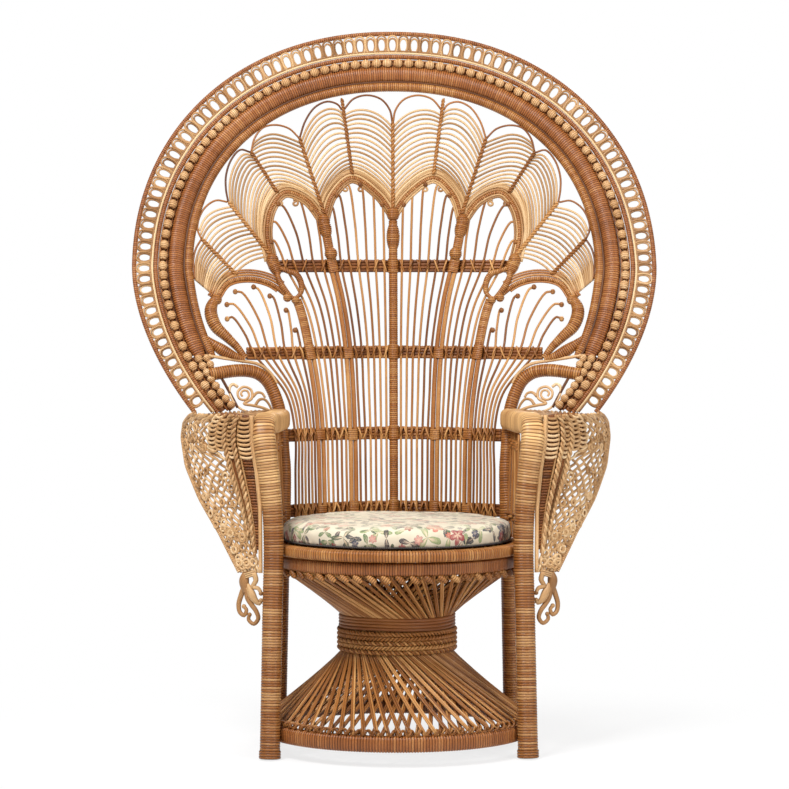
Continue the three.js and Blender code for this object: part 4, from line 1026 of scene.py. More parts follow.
def border():
    bundle = Bundle(91)
    wound = Bundle(92)
    for side in (1, -1):
        for arch in ARCHES:
            line = smooth(arch, 4.0)
            wound.lay(line, BORDER_CORE, 1.0, side, sides=12, lap=4.0, groove=0.1)
            for away, radius in BORDER_CANES:
                bundle.lay(offset_drawing(line, away), radius, 1.0, side, sides=8)
            apex = line[np.argmax(line[:, 1])]
            for shift, start, turns in CURLS:
                spiral = curl_drawing((apex[0] + shift, apex[1] - CURL_DROP), CURL_REACH, start, turns)
                bundle.lay(spiral, CURL_RADIUS, side=side)
        for cusp in CUSPS[0 if side > 0 else 1 :]:
            wound.knot(cusp, RIB_KNOT_RADIUS, 2.0, side, long=1.1, **KNOT_WRAP)
    bundle.piece("fan_border_canes", STRAND_TAN)
    wound.piece("fan_border_wrapped", WRAPPED_GOLD, "fan_border")


def swelling(thin, fat, early=1.0):
    """A radius that starts thin, fattens in the middle or earlier and ends thin."""
    return lambda u: thin + (fat - thin) * np.sin(np.pi * np.clip(u, 0, 1) ** early) ** 1.5


def side_arch(side, word):
    bundle = Bundle(93)
    arch = smooth(SIDE_ARCH, 4.0)
    bundle.lay(arch, ARCH_CORE, side=side, sides=14, lap=4.0, groove=0.08)
    for away, radius in ARCH_CANES:
        bundle.lay(offset_drawing(arch, away)[7:], radius, 1.0, side, sides=8)
    for drawing, rule in ((STILE, swelling(7.0, 14.0, 0.6)), (STILE_KNOT, swelling(6.5, 13.0))):
        bundle.lay(smooth(drawing, 4.0), rule, 2.0, side, sides=16, lap=4.4, groove=0.09)
    for drawing in ARCH_LEAVES:
        bundle.lay(smooth(drawing, 4.0), swelling(4.0, 7.0), 6.0, side, sides=14, lap=3.8, groove=0.09)
    for spot, radius in ARCH_KNOTS:
        bundle.knot(spot, radius, 4.0, side, sides=14, lap=3.8, groove=0.1)
    bundle.piece(f"side_arch_{word}_wrapped", WRAPPED_GOLD, f"side_arch_{word}")


border()
for side, word in SIDES:
    side_arch(side, word)

# %% [markdown]
# The feathers are the chair's show piece. Strands start along a spine, arch over and fall to the valley on
# each side of it, and each follows the one below. The lowest follows the scalloped border and the highest
# the line round the feather's tip, so any strand in between is a blend. That gives even spacing with no
# strand drawn by hand. The half of a feather nearer the centre is broad, so its strands follow the tip
# less.

# %% Feathers
FEATHER_RADIUS = 2.5
OUTLINE_RADIUS = 2.2
SPINES = [[(87, 1174), (109, 1336)], [(247, 1134), (303, 1220)], [(333, 958), (404, 1032)]]
VALLEYS = [
    [(0, 1102), (0, 1287)],
    [(147, 1088), (200, 1252)],
    [(258, 996), (350, 1112)],
    [(374, 912), (419, 950)],
]
FEATHER_STRANDS = (17, 16, 14)
STRAND_POINTS = 27
TIP_FOLLOW = (0.25, 0.8)
FEATHER_ARCH = (0.30, 0.30, 0.24)
ARCH_CREST = 0.52
FEATHER_LIFT = 2.5
HEM_ROOM = 15.0
HEM_POWER = 2.5
FIRST_STEP = 0.3
LAST_SHARE = 0.97
TIP_START = 0.4
FEATHER_HEADS = [
    [[(105, 1311)], [(107, 1311)]],
    [[(302, 1221), (297, 1247)], [(303, 1220)]],
    [[(404, 1032), (412, 1062)], [(404, 1032)]],
]
OUTLINES = [
    [
        [(105, 1312), (84, 1336), (54, 1344), (24, 1335), (6, 1312), (1, 1287)],
        [(109, 1312), (118, 1324), (140, 1330), (166, 1318), (187, 1288), (199, 1252)],
    ],
    [
        [(201, 1252), (221, 1271), (250, 1279), (277, 1273), (295, 1250), (302, 1221)],
        [(304, 1220), (325, 1225), (344, 1204), (355, 1170), (355, 1140), (350, 1113)],
    ],
    [
        [(352, 1113), (376, 1116), (399, 1100), (412, 1073), (413, 1052), (405, 1034)],
        [(406, 1032), (416, 1014), (421, 990), (419, 966), (418, 950)],
    ],
]
CORD_CANE = 2.3
CORD_REACH = 2.1
CORD_PITCH = 15.0
CORD_LIFT = 4.0


def border_half(index, half, foot):
    """The part of the border from below the spine to the cusp on one side, a little above the canes."""
    line = offset_drawing(smooth(ARCHES[index], 4.0), HEM_ROOM)
    nearest = np.argmin(np.linalg.norm(line - foot, axis=1))
    return respaced(line[nearest:] if half else line[: nearest + 1][::-1], STRAND_POINTS)


def feather(index, side, word):
    bundle = Bundle(100 + index)
    foot, tip = np.array(SPINES[index], float)
    rise = (tip - foot) / np.linalg.norm(tip - foot) * FEATHER_ARCH[index]
    lift = FEATHER_LIFT * np.sin(np.pi * np.linspace(0, 1, STRAND_POINTS))
    count = FEATHER_STRANDS[index]
    for half, valley in enumerate(VALLEYS[index : index + 2]):
        low, high = np.array(valley, float)
        hem = border_half(index, half, foot) if index < len(ARCHES) else None
        rail = np.array([foot, *FEATHER_HEADS[index][half]], float)
        run = lengths(rail)
        round_tip = respaced(smooth(OUTLINES[index][half], 4.0), STRAND_POINTS)
        for k in range(count):
            share = LAST_SHARE * (k + FIRST_STEP) / count
            start = np.array([np.interp(share * run[-1], run, rail[:, axis]) for axis in (0, 1)])
            end = lerp(low, high, share)
            crest = lerp(start, end, ARCH_CREST) + rise * np.linalg.norm(end - start)
            line = bow(start, crest, end, STRAND_POINTS)
            slide = np.linspace(line[0] - round_tip[0], line[-1] - round_tip[-1], STRAND_POINTS)
            line = lerp(line, round_tip + slide, TIP_FOLLOW[half] * ease(share, TIP_START, 1.0))
            if hem is not None:
                line = lerp(line, hem + share * (line - hem), (1 - share) ** HEM_POWER)
            bundle.lay(line, FEATHER_RADIUS, lift, side, sides=7)
    node = f"feather_{BAY_NAMES[index]}_{word}"
    bundle.piece(f"{node}_strands", STRAND_FEATHER, node)


def corded(bundle, points, side):
    """Two canes twisted round each other along a drawn line, with their slants showing as dashes."""
    line = smooth(points, 2.0)
    swing = 2 * np.pi * lengths(line) / CORD_PITCH
    for start in (0, np.pi):
        away = offset_drawing(line, (CORD_REACH * np.cos(swing + start))[:, None])
        bundle.lay(away, CORD_CANE, CORD_LIFT + CORD_REACH * np.sin(swing + start), side, sides=7)


def feather_rods():
    """Twisted cords between the feathers and up their middles, and the lines round their tips."""
    for index, name in enumerate(RIB_NAMES):
        for side, word in SIDES if index else SIDES[:1]:
            bundle = Bundle(110 + index)
            corded(bundle, VALLEYS[index], side)
            node = f"valley_rod_{name}_{word}" if index else f"valley_rod_{name}"
            bundle.piece(f"{node}_cord", STRAND_HONEY, node)
    spines = Bundle(115)
    tips = Bundle(116)
    for side in (1, -1):
        for spine in SPINES:
            corded(spines, spine, side)
        for outline in sum(OUTLINES, []):
            tips.lay(smooth(outline, 5.0), OUTLINE_RADIUS, 1.0, side, sides=8)
    spines.piece("feather_spines", STRAND_HONEY)
    tips.piece("feather_tips", STRAND_DARK)


for side, word in SIDES:
    for index in range(3):
        feather(index, side, word)
feather_rods()

# %% [markdown]
# The halo frames the fan. It is built up in layers from the rim inward: a thin hoop, a lace of loops, a
# pale cane and a thin hoop, a row of knotted beads, a broad dark band and a thick hoop. Every layer is the
# same outline moved inward, so one outline, measured once along its length, serves them all.

# %% Outline of the halo
HALO_TOP = 1482.0
HALO_CENTRE = 980.0
HALO_HALF_WIDTH = 546.0
HALO_SQUARENESS = 2.15
HALO_DRAW_IN = 122.0
HALO_DRAW_DEPTH = 297.0
HALO_DRAW_POWER = 1.83
HALO_FOOT = ARM_HEIGHT - 6.0
TOP_INSETS = (0.0, 50.0, 68.8, 93.2, 130.0)
SIDE_INSETS = (0.0, 42.5, 62.0, 89.5, 124.0)
FOOT_DRAW = 0.16
FOOT_DRAW_LEVELS = (690.0, 930.0)


def halo_table(count=3000):
    turn = np.linspace(-1, 1, count) * (np.pi / 2 + 0.85)
    bend = np.minimum(np.abs(turn), np.pi / 2)
    tall = HALO_TOP - HALO_CENTRE
    below = (np.abs(turn) - bend) * tall
    power = 2 / HALO_SQUARENESS
    draw_in = HALO_DRAW_IN * (below / HALO_DRAW_DEPTH) ** HALO_DRAW_POWER
    reach = HALO_HALF_WIDTH * np.sin(bend) ** power - draw_in
    height = HALO_CENTRE + tall * np.maximum(np.cos(bend), 0) ** power - below
    line = np.stack([np.sign(turn) * reach, height], axis=1)
    return respaced(line, count)


HALO_LINE = halo_table()
HALO_LENGTH = lengths(HALO_LINE)[-1]
HALO_ALONG = np.gradient(HALO_LINE, axis=0)
HALO_ALONG /= np.linalg.norm(HALO_ALONG, axis=1, keepdims=True)
HALO_SHARES = np.linspace(0, 1, len(HALO_LINE))


def halo_at(share, inset):
    """Points at a share of the halo's length, moved inward from the rim. Layers lie closer at the sides."""
    pick = lambda table, k: np.interp(share, HALO_SHARES, table[:, k])
    height = pick(HALO_LINE, 1)
    below_top = np.clip((HALO_TOP - height) / (HALO_TOP - HALO_CENTRE), 0, 1)
    inset = lerp(inset, np.interp(inset, TOP_INSETS, SIDE_INSETS), below_top**1.5)
    inset = inset * (1 - FOOT_DRAW * (1 - ease(height, *FOOT_DRAW_LEVELS)))
    x = pick(HALO_LINE, 0) + pick(HALO_ALONG, 1) * inset
    z = height - pick(HALO_ALONG, 0) * inset
    return np.stack([x, z], axis=-1)


def halo_span(inset, foot):
    """The shares between which a layer stays above a height."""
    shares = np.linspace(0.5, 1, 2000)
    under = halo_at(shares, inset)[:, 1] < foot
    end = shares[np.argmax(under)] if np.any(under) else 1.0
    return 1 - end, end


def halo_layer(inset, foot, count=500):
    return halo_at(np.linspace(*halo_span(inset, foot), count), inset)


print(f"the halo's rim is {HALO_LENGTH:.0f} mm long")

# %% [markdown]
# Hoops first. Ends that would stop in the air taper away, as a maker feathers a cane before binding it down.

# %% Hoops of the halo
OUTER_HOOP = (5.2, 5.0)
PALE_CANE = (47.6, 2.4)
THIN_HOOP = (55.0, 5.0)
THIN_WRAP = dict(sides=10, lap=4.4, groove=0.12)
WIDE_BAND = (93.2, 16.4)
WIDE_BAND_DEEP = 10.0
WIDE_BAND_END = 788.0
WIDE_WRAP = dict(sides=18, lap=4.8, groove=0.09)
EDGE_CANE = (110.4, 2.6)
BAND_BACKING = ((79.0, 8.0), (111.0, 7.0))
BACKING_DEEP = 3.0
BACKING_OUT = -5.0
INNER_HOOP = (120.0, 10.0)
INNER_HOOP_END = 786.0
INNER_WRAP = dict(sides=14, lap=4.4, groove=0.07)
FINE_COUNT = 900


def tapered(size, ends=0.012, least=0.7):
    return lambda u: size * lerp(least, 1.0, ease(np.minimum(u, 1 - u), 0, ends))


def hoop(seed, name, finish, line, deep, *stands_for, **how):
    """One layer of the halo as a piece of its own."""
    bundle = Bundle(seed)
    bundle.lay(line, deep, **how)
    bundle.piece(name, finish, *stands_for)


rim, thin, pale = (halo_layer(inset, HALO_FOOT) for inset, _ in (OUTER_HOOP, THIN_HOOP, PALE_CANE))
broad = halo_layer(WIDE_BAND[0], WIDE_BAND_END, FINE_COUNT)
inner = halo_layer(INNER_HOOP[0], INNER_HOOP_END, FINE_COUNT)
deep, tall, thick = (tapered(size) for size in (WIDE_BAND_DEEP, WIDE_BAND[1], INNER_HOOP[1]))
hoop(121, "halo_rim_wrapped", WRAPPED_BROWN, rim, OUTER_HOOP[1], "halo_outer_hoop", **THIN_WRAP)
hoop(122, "halo_thin_hoop_wrapped", WRAPPED_BROWN, thin, THIN_HOOP[1], "halo_middle_hoop", **THIN_WRAP)
hoop(123, "halo_pale_cane", STRAND_CREAM, pale, PALE_CANE[1], out=2.0, sides=8)
hoop(124, "halo_wide_band_wrapped", WRAPPED_BROWN, broad, deep, "halo_wide_band", tall=tall, **WIDE_WRAP)
# The edge cane and the strips behind the band take the shadow finish: painted shadow in the groove and the
# slits.
edge = Bundle(125)
edge.lay(halo_layer(EDGE_CANE[0], WIDE_BAND_END), EDGE_CANE[1], 4.0, sides=8)
for inset, half in BAND_BACKING:
    edge.lay(halo_layer(inset, WIDE_BAND_END + 4), BACKING_DEEP, BACKING_OUT, tall=half, sides=10)
edge.piece("halo_edge_cane", STRAND_SHADOW)
hoop(126, "halo_inner_hoop_wrapped", WRAPPED_GOLD, inner, thick, "halo_inner_hoop", **INNER_WRAP)

# %% [markdown]
# The lace between the rim and the pale cane is a row of horseshoe loops, each of two thin canes side by
# side. One loop is drawn in loop widths and insets, and a loop of code walks it along the halo. Fat knotted
# beads sit between the thin hoop and the broad band, and crowd together where the halo meets the shoulder.

# %% Lace and beads of the halo
LOOP_PITCH = 24.0
OUTER_LOOP = [(0.30, 45.5), (0.43, 38), (0.465, 27), (0.36, 14), (0, 8.8)]
INNER_LOOP = [(0.20, 44.5), (0.34, 36), (0.37, 27), (0.27, 18.5), (0, 14.6)]
LOOP_FOOT = 43.4
LACE_CANE = 2.3
LACE_MIDDLE = 28.0
LACE_END = HALO_FOOT + 14
OUTER_LOOP_OUT = 1.4
INNER_LOOP_OUT = -1.0
BEAD_INSET = 68.8
BEAD_PITCH = 25.0
BEAD_RADIUS = 9.8
BEAD_TOP = HALO_TOP + BEAD_RADIUS
BEAD_FOOT = HALO_FOOT + 8
CLUSTER_TOP = WIDE_BAND_END + 4
CLUSTER_ROWS = ((87.0, 8.6, 18.0, BEAD_FOOT, CLUSTER_TOP), (104.0, 8.2, 17.0, 766.0, CLUSTER_TOP))
STRIP_DEEP = 2.6
STRIP = dict(out=-6.0, tall=8.5, sides=10)
BEAD_CORDS = (62.5, 76.0)
BEAD_CORD = 2.2


def horseshoe(half):
    """A whole loop from half of its points."""
    whole = [(-x, inset) for x, inset in half[:-1]] + half[::-1]
    stretch = np.array([LOOP_PITCH, 1.0])
    return smooth(np.array(whole) * stretch, 5.0) / stretch


def halo_lace():
    bundle = Bundle(131)
    start, end = halo_span(LACE_MIDDLE, LACE_END)
    count = int((end - start) * HALO_LENGTH / LOOP_PITCH)
    step = (end - start) / count
    loops = [(horseshoe(OUTER_LOOP), OUTER_LOOP_OUT), (horseshoe(INNER_LOOP), INNER_LOOP_OUT)]
    for k in range(count):
        middle = start + (k + 0.5) * step
        for line, out in loops:
            bundle.lay(halo_at(middle + line[:, 0] * step, line[:, 1]), LACE_CANE, out)
    bundle.lay(halo_layer(LOOP_FOOT, HALO_FOOT), LACE_CANE, 1.0)
    bundle.piece("halo_lace_loops", STRAND_TAN, "halo_loop_lace")


def bead_row(bundle, inset, radius, pitch, foot, top):
    """Knotted beads along the halo on both sides, between two heights."""
    start, end = halo_span(inset, foot)
    count = int((end - start) * HALO_LENGTH / pitch)
    for k in range(count):
        share = np.array([start + (k + 0.5 + d) * (end - start) / count for d in (-0.1, 0.0, 0.1)])
        spots = on_back(halo_at(share, inset), 3.0)
        if spots[1][2] < top:
            bundle.ball(spots[1], radius, axis=spots[2] - spots[0], sides=14, lap=3.6, groove=0.1)


def halo_beads():
    bundle = Bundle(132)
    bead_row(bundle, BEAD_INSET, BEAD_RADIUS, BEAD_PITCH, BEAD_FOOT, BEAD_TOP)
    for row in CLUSTER_ROWS:
        bead_row(bundle, *row)
    bundle.piece("halo_beads", WRAPPED_PALE, "halo_bead_row")
    # The strips behind the bead rows are coloured dark as painted shadow between the beads.
    cords = Bundle(133)
    for inset, _, _, foot, top in CLUSTER_ROWS:
        shares = np.linspace(halo_span(inset, top)[1], halo_span(inset, foot)[1], 30)
        for side in (1, -1):
            cords.lay(halo_at(shares, inset), STRIP_DEEP, side=side, **STRIP)
    for inset in BEAD_CORDS:
        cords.lay(halo_layer(inset, HALO_FOOT + 4), BEAD_CORD, -2.0)
    cords.lay(halo_layer(BEAD_INSET, HALO_FOOT + 4), STRIP_DEEP, **STRIP)
    cords.piece("halo_bead_cords", STRAND_DARK)


halo_lace()
halo_beads()

# %% [markdown]
# A lace cape hangs outside each arm, from the arm top down to a curled drop beside the leg. In plan it bows
# outward from the leg to the halo, so it is drawn in distance along that bow and in height. Next to the leg
# run ladders of rungs with twisted pale cords among them. The rest is a net of wavy canes with small rings
# sewn on.

# %% The bow of the cape
CAPE_PLAN = np.array([(273.0, -126.0), (398.0, -90.0), (444.0, 112.0)])
CAPE_EDGE = [(367, 316), (444, 357), (506, 397), (570, 428), (626, 438), (655, 433), (669, 424), (679, 408)]
CAPE_FRONT = [(367, 273), (500, 273.5), (570, 279), (625, 288), (681, 291)]
CAPE_BOTTOM = 367.0
CAPE_TOP = 679.0


CAPE_LINE = respaced(bow(*CAPE_PLAN, 400), 400)
CAPE_RUN = lengths(CAPE_LINE)
CAPE_ALONG = np.gradient(CAPE_LINE, axis=0)
CAPE_ALONG /= np.linalg.norm(CAPE_ALONG, axis=1, keepdims=True)


def on_cape(share, z, out=0.0):
    """A point of the cape at a share of its width at that height, from the leg to the edge."""
    share, z = np.broadcast_arrays(np.asarray(share, float), np.asarray(z, float))
    front = np.interp(width_at(CAPE_FRONT, z), CAPE_LINE[:, 0], CAPE_RUN)
    edge = np.interp(width_at(CAPE_EDGE, z), CAPE_LINE[:, 0], CAPE_RUN)
    run = lerp(front, edge, share)
    spot = [np.interp(run, CAPE_RUN, CAPE_LINE[:, k]) for k in range(2)]
    along = [np.interp(run, CAPE_RUN, CAPE_ALONG[:, k]) for k in range(2)]
    return np.stack([spot[0] + along[1] * out, spot[1] - along[0] * out, z], axis=-1)


def cape_face(path):
    run = np.interp(np.abs(path[:, 0]), CAPE_LINE[:, 0], CAPE_RUN)
    along = [np.interp(run, CAPE_RUN, CAPE_ALONG[:, k]) for k in range(2)]
    return np.stack([np.sign(path[:, 0]) * along[1], -along[0], np.zeros(len(path))], axis=1)


print(f"the cape's bow is {CAPE_RUN[-1]:.0f} mm long")

# %% [markdown]
# A picture of lace on a sheet would be quick, but these openings have to show what lies behind them and
# throw real shadows. So wavy canes hang side by side, each half a wave on from its neighbour, and almond
# openings appear between them. Ladders, cords and rings go on top, and dark canes close the gaps behind;
# their dark colour is painted shade of the recess.

# %% Lace of the cape
NET_START = [(367, 0.10), (470, 0.24), (590, 0.27), (612, 0.45), (681, 0.46)]
NET_STRANDS = 12
NET_REACH = 0.46
NET_HALF_WAVE = 10.5
NET_CANE = 2.7
LADDERS = ((0.02, 0.13, 405.0), (0.185, 0.235, 430.0), (0.26, 0.345, 610.0), (0.36, 0.445, 606.0))
LADDER_CANE = 2.4
RUNG_FOOT = 596.0
RUNG_PITCH = 8.6
RUNG_CANE = 2.8
RUNG_DROOP = np.array([0.0, -1.8, -2.4, -1.8, 0.0])
CORDS = ((0.158, 400.0), (0.248, 440.0))
BACKING = ((0.035, 0.25, 9, 412.0), (0.27, 0.44, 6, 606.0))
BACKING_CANE = 4.0
LOW_RUNGS = (416.0, 594.0, 5.6)
LOW_RUNG_CANE = 2.3
RING_COUNT = 60
RING_REACH = 6.6
RING_OUT = 3.0
RING_ROOM = 12
CAPE_CORD_STEP = 1.6
CAPE_CORD_TURN = 3.4
BACKING_CANE_OUT = -5.0


def hang(bundle, path, radius, side, sides=6, **how):
    """A tube along a line of the cape, mirrored to its side."""
    bundle.tube(mirrored(path, side), radius, sides=sides, ref=cape_face, **how)


def cape_line(share, low=CAPE_BOTTOM, out=0.0):
    return on_cape(share, np.linspace(low, CAPE_TOP, 40), out)


def cape_net(bundle, side):
    """Wavy canes that lean on their neighbours in turn, so that almond openings appear between them."""
    heights = np.arange(CAPE_BOTTOM, CAPE_TOP, 2.2)
    begin = width_at(NET_START, heights)
    for k in range(NET_STRANDS + 1):
        stray = 0.6 * np.sin(heights / 47 + 2.1 * k) + 0.4 * np.sin(heights / 19 + k)
        swing = NET_REACH * np.sin(np.pi * heights / NET_HALF_WAVE + np.pi * k + stray)
        share = begin + (1 - begin) * np.clip((k + swing) / NET_STRANDS, 0, 1)
        depth = 1.2 * np.cos(np.pi * heights / NET_HALF_WAVE + k)
        hang(bundle, on_cape(share, heights, depth), NET_CANE, side)


def cape_rings(bundle, side):
    """Small rings sewn over the net by eye."""
    for _ in range(RING_COUNT):
        z = bundle.draw.uniform(CAPE_BOTTOM + RING_ROOM, CAPE_TOP - RING_ROOM)
        share = lerp(float(width_at(NET_START, z)), 1.0, bundle.draw.uniform(0.06, 0.92))
        middle = on_cape(share, z, RING_OUT)
        across = on_cape(share + 0.02, z, RING_OUT) - on_cape(share - 0.02, z, RING_OUT)
        across /= np.linalg.norm(across)
        spin = np.linspace(0, 2 * np.pi, 17)[:, None]
        ring = middle + RING_REACH * (np.cos(spin) * across + np.sin(spin) * UP)
        hang(bundle, ring, LADDER_CANE, side, closed=True)


def cape_ladders(bundle, side):
    for left, right, foot in LADDERS:
        for share in (left, right):
            hang(bundle, cape_line(share, foot), LADDER_CANE, side)
        for z in np.arange(max(foot, RUNG_FOOT), CAPE_TOP - 3, RUNG_PITCH):
            hang(bundle, on_cape(np.linspace(left, right, 5), z + RUNG_DROOP, 1.5), RUNG_CANE, side, 7)


def cape_cords(bundle, side):
    """Pale canes twisted in pairs between the ladders."""
    for share, foot in CORDS:
        heights = np.arange(foot, CAPE_TOP, CAPE_CORD_STEP)
        for phase in (0, np.pi):
            twist = heights / CAPE_CORD_TURN + phase
            path = on_cape(share + 0.011 * np.cos(twist), heights, 5 + 2.6 * np.sin(twist))
            hang(bundle, path, RUNG_CANE, side, 7)


def cape_backing(bundle, side):
    """Dark canes close behind the ladders, with low rungs over them. Their dark colour is painted shade."""
    for first, last, count, foot in BACKING:
        for share in np.linspace(first, last, count):
            hang(bundle, cape_line(share, foot, BACKING_CANE_OUT), BACKING_CANE, side, 8)
    for z in np.arange(*LOW_RUNGS):
        path = on_cape(np.linspace(0.03, 0.12, 5), z, -0.5 + 1.2 * np.sin(np.arange(5) * 2.4 + z))
        hang(bundle, path, LOW_RUNG_CANE, side)


for side, word in SIDES:
    lace = Bundle(141)
    cape_net(lace, side)
    cape_rings(lace, side)
    cape_ladders(lace, side)
    lace.piece(f"arm_lace_{word}_openwork", STRAND_PALE, f"arm_lace_{word}")
    cords = Bundle(143)
    cape_cords(cords, side)
    cords.piece(f"arm_lace_{word}_cords", STRAND_TAN)
    # The canes behind the ladders take the dark finish as painted shade of the recess.
    backing = Bundle(144)
    cape_backing(backing, side)
    backing.piece(f"arm_lace_{word}_backing", STRAND_DARK)
    rim = Bundle(142)
    hang(rim, cape_line(1.0), 4.4, side, 12, lap=4.0, groove=0.1)
    hang(rim, cape_line(0.0, out=2.0), 4.0, side, 10)
    rim.piece(f"arm_edge_{word}_wrapped", WRAPPED_PALE, f"arm_edge_cane_{word}")

# %% [markdown]
# The top of the arm closes the gap between the rail and the cape. Canes lie side by side and follow the
# bow, so each is a blend between the line of the rail and the line of the cape. The drop at the foot is a
# bunch of spirals under a wound collar, and a thin scroll fills the opening below the shoulder.

# %% Arm tops, drops and scrolls
ARM_TOP_CANES = 20
ARM_TOP_CANE = 3.7
ARM_TOP_SET_IN = 15.0
ARM_TOP_FALL = 10.0
ARM_TOP_POINTS = 60
CROSS_CANE = 2.2
RAIL_EDGE = [(276.0, -84.0), (278.0, 30.0), (264.0, 158.0)]
DROP_STRETCH = np.array([40.0, 1.0])
DROP_BALL = 4.6
STEM = [(258, 675), (276, 683), (296, 688)]
LEAF_STROKES = [
    [(290, 688), (282, 699), (272, 700), (263, 691), (256, 677)],
    [(295, 706), (286, 714), (276, 712), (270, 703)],
    [(326, 726), (336, 732), (343, 725), (341, 710), (334, 696), (322, 683), (308, 676)],
]
OVER_SHOULDER = [(388, 790), (355, 784), (318, 778), (284, 770), (261, 752), (248, 730)]
BRACE = [(360, 746), (342, 714), (326, 684)]


def thinning(thick, loss):
    return lambda u: thick - loss * u


CURLED = thinning(5.8, 2.2)
DROP_CURLS = [
    (swelling(6.0, 10.0, 0.8), [(0.70, 366), (0.77, 350), (0.74, 336), (0.68, 326)]),
    (CURLED, [(0.76, 338), (0.94, 318), (1.04, 302), (0.98, 287), (0.78, 281), (0.66, 292), (0.78, 299)]),
    (CURLED, [
        (0.66, 336), (0.60, 316), (0.42, 303), (0.22, 291),
        (0.12, 276), (0.32, 265), (0.56, 273), (0.52, 283),
    ]),
    (swelling(3.4, 8.2, 0.8), [(0.60, 344), (0.46, 328), (0.28, 313), (0.08, 306), (-0.05, 312)]),
    (CURLED, [(0.32, 366), (0.22, 352), (0.36, 339), (0.12, 336), (-0.02, 326)]),
]


def arm_top(side, word):
    bundle = Bundle(151)
    low, high = extent(f"arm_top_{word}")
    level = (low[2] + high[2]) / 2 - 2
    inner = respaced(smooth(RAIL_EDGE, 8.0), ARM_TOP_POINTS)
    inward = np.column_stack([-CAPE_ALONG[:, 1], CAPE_ALONG[:, 0]]) * ARM_TOP_SET_IN
    outer = respaced((CAPE_LINE + inward)[56:390], ARM_TOP_POINTS)
    for k in range(ARM_TOP_CANES):
        share = k / (ARM_TOP_CANES - 1)
        plan = lerp(inner, outer, share)
        path = np.column_stack([plan, np.full(len(plan), level - ARM_TOP_FALL * share**2)])
        bundle.tube(mirrored(path, side), ARM_TOP_CANE, sides=8)
    reach = np.linspace(0, 1, 12)
    for share in np.linspace(0.05, 0.95, 9):
        spot = int(share * (ARM_TOP_POINTS - 1))
        plan = lerp(inner[spot], outer[spot], reach[:, None])
        path = np.column_stack([plan, level - 4.0 - ARM_TOP_FALL * reach**2])
        bundle.tube(mirrored(path, side), CROSS_CANE)
    bundle.piece(f"arm_top_{word}_canes", STRAND_TAN, f"arm_top_{word}")


def cape_drop(side, word):
    bundle = Bundle(152)
    for rule, points in DROP_CURLS:
        line = smooth(np.array(points) * DROP_STRETCH, 4.0) / DROP_STRETCH
        below = np.minimum(line[:, 1] - CAPE_BOTTOM, 0)
        path = on_cape(line[:, 0], np.maximum(line[:, 1], CAPE_BOTTOM)) + np.outer(below, UP)
        hang(bundle, path, rule, side, 12)
        bundle.ball(mirrored(path[-1:], side)[0], DROP_BALL)
    collar = on_cape(0.5, [367.0, 372.0, 378.0]) - np.array([0, 0, 10.0])
    hang(bundle, collar, 7.0, side, 14, tall=15.0, power=2.4, lap=4.0, groove=0.1)
    bundle.piece(f"arm_drop_{word}_curls", STRAND_TAN, f"arm_tassel_{word}")


def scroll(side, word):
    """A curl with leaf strokes below the shoulder, a brace beside it and a pale cane over the shoulder."""
    bundle = Bundle(153)
    spiral = curl_drawing((313, 711), 19.0, -90, -1.9, 0.28)
    for stroke in ([*STEM, *spiral[::4]], *LEAF_STROKES):
        bundle.lay(smooth(stroke, 3.0), thinning(3.4, 1.0), side=side, sides=8)
    bundle.lay(smooth(OVER_SHOULDER, 4.0), 3.6, 4.0, side, sides=8)
    bundle.piece(f"shoulder_scroll_{word}_cane", STRAND_PALE, f"shoulder_scroll_{word}")
    # The brace takes the shadow finish, so its colour is painted shadow.
    brace = Bundle(154)
    brace.lay(smooth(BRACE, 4.0), 3.2, side=side, sides=8)
    brace.piece(f"shoulder_brace_{word}", STRAND_SHADOW)


for side, word in SIDES:
    arm_top(side, word)
    cape_drop(side, word)
    scroll(side, word)

# %% [markdown]
# Below each rail the side of the seat is closed by a few upright spokes and two woven bands, like the back.

# %% Side spokes below the rails
SIDE_SPOTS = np.linspace(-66, 96, 9)
SIDE_TOP = RAIL_LEVEL - RAIL_HALF
SIDE_BANDS = (462.0, 612.0)
SIDE_CANE = 3.0
SIDE_WEAVE = 4.6
SIDE_STEP = 6.2


def side_spokes(side, word):
    bundle = Bundle(161)
    reach = radius_of("seat_hoop") - SEAT_HOOP_WIDTH / 2 + 6
    level = np.ones_like(SIDE_SPOTS)
    foot = np.stack([np.sqrt(reach**2 - SIDE_SPOTS**2), SIDE_SPOTS, SEAT_HEIGHT * level], axis=1)
    head = np.stack([lerp(foot[:, 0], 244.0, 0.7), SIDE_SPOTS, SIDE_TOP * level], axis=1)
    for a, b in zip(foot, head):
        bundle.tube(np.linspace(a, b, 12), SPOKE_RADIUS, sides=7, ref=ACROSS)
    for height in SIDE_BANDS:
        share = (height - SEAT_HEIGHT) / (SIDE_TOP - SEAT_HEIGHT)
        for row in range(3):
            points = lerp(foot, head, share) + np.array([0.0, 0.0, (row - 1) * SIDE_STEP])
            points[:, 0] += SIDE_WEAVE * np.where((np.arange(len(points)) + row) % 2, 1, -1)
            bundle.tube(smooth(points, 3.0), SIDE_CANE)
    bundle.points = [mirrored(points, side) for points in bundle.points]
    if side < 0:
        bundle.corners = [corners[::-1] for corners in bundle.corners]
    bundle.piece(f"arm_side_{word}_spokes", STRAND_HONEY, f"arm_side_spokes_{word}")


for side, word in SIDES:
    side_spokes(side, word)

# %% [markdown]
# The cushion is a round pad in printed cotton, boxed at the side, with a dark cord sewn round its lower
# edge. A turned profile alone looks like a bun tin, so the pad is blown up as cloth: a closed skin, a
# little too small, with air pressure inside for twenty frames. Moves are capped so that it stays in its
# space, and the underside is pressed flat on the deck again.

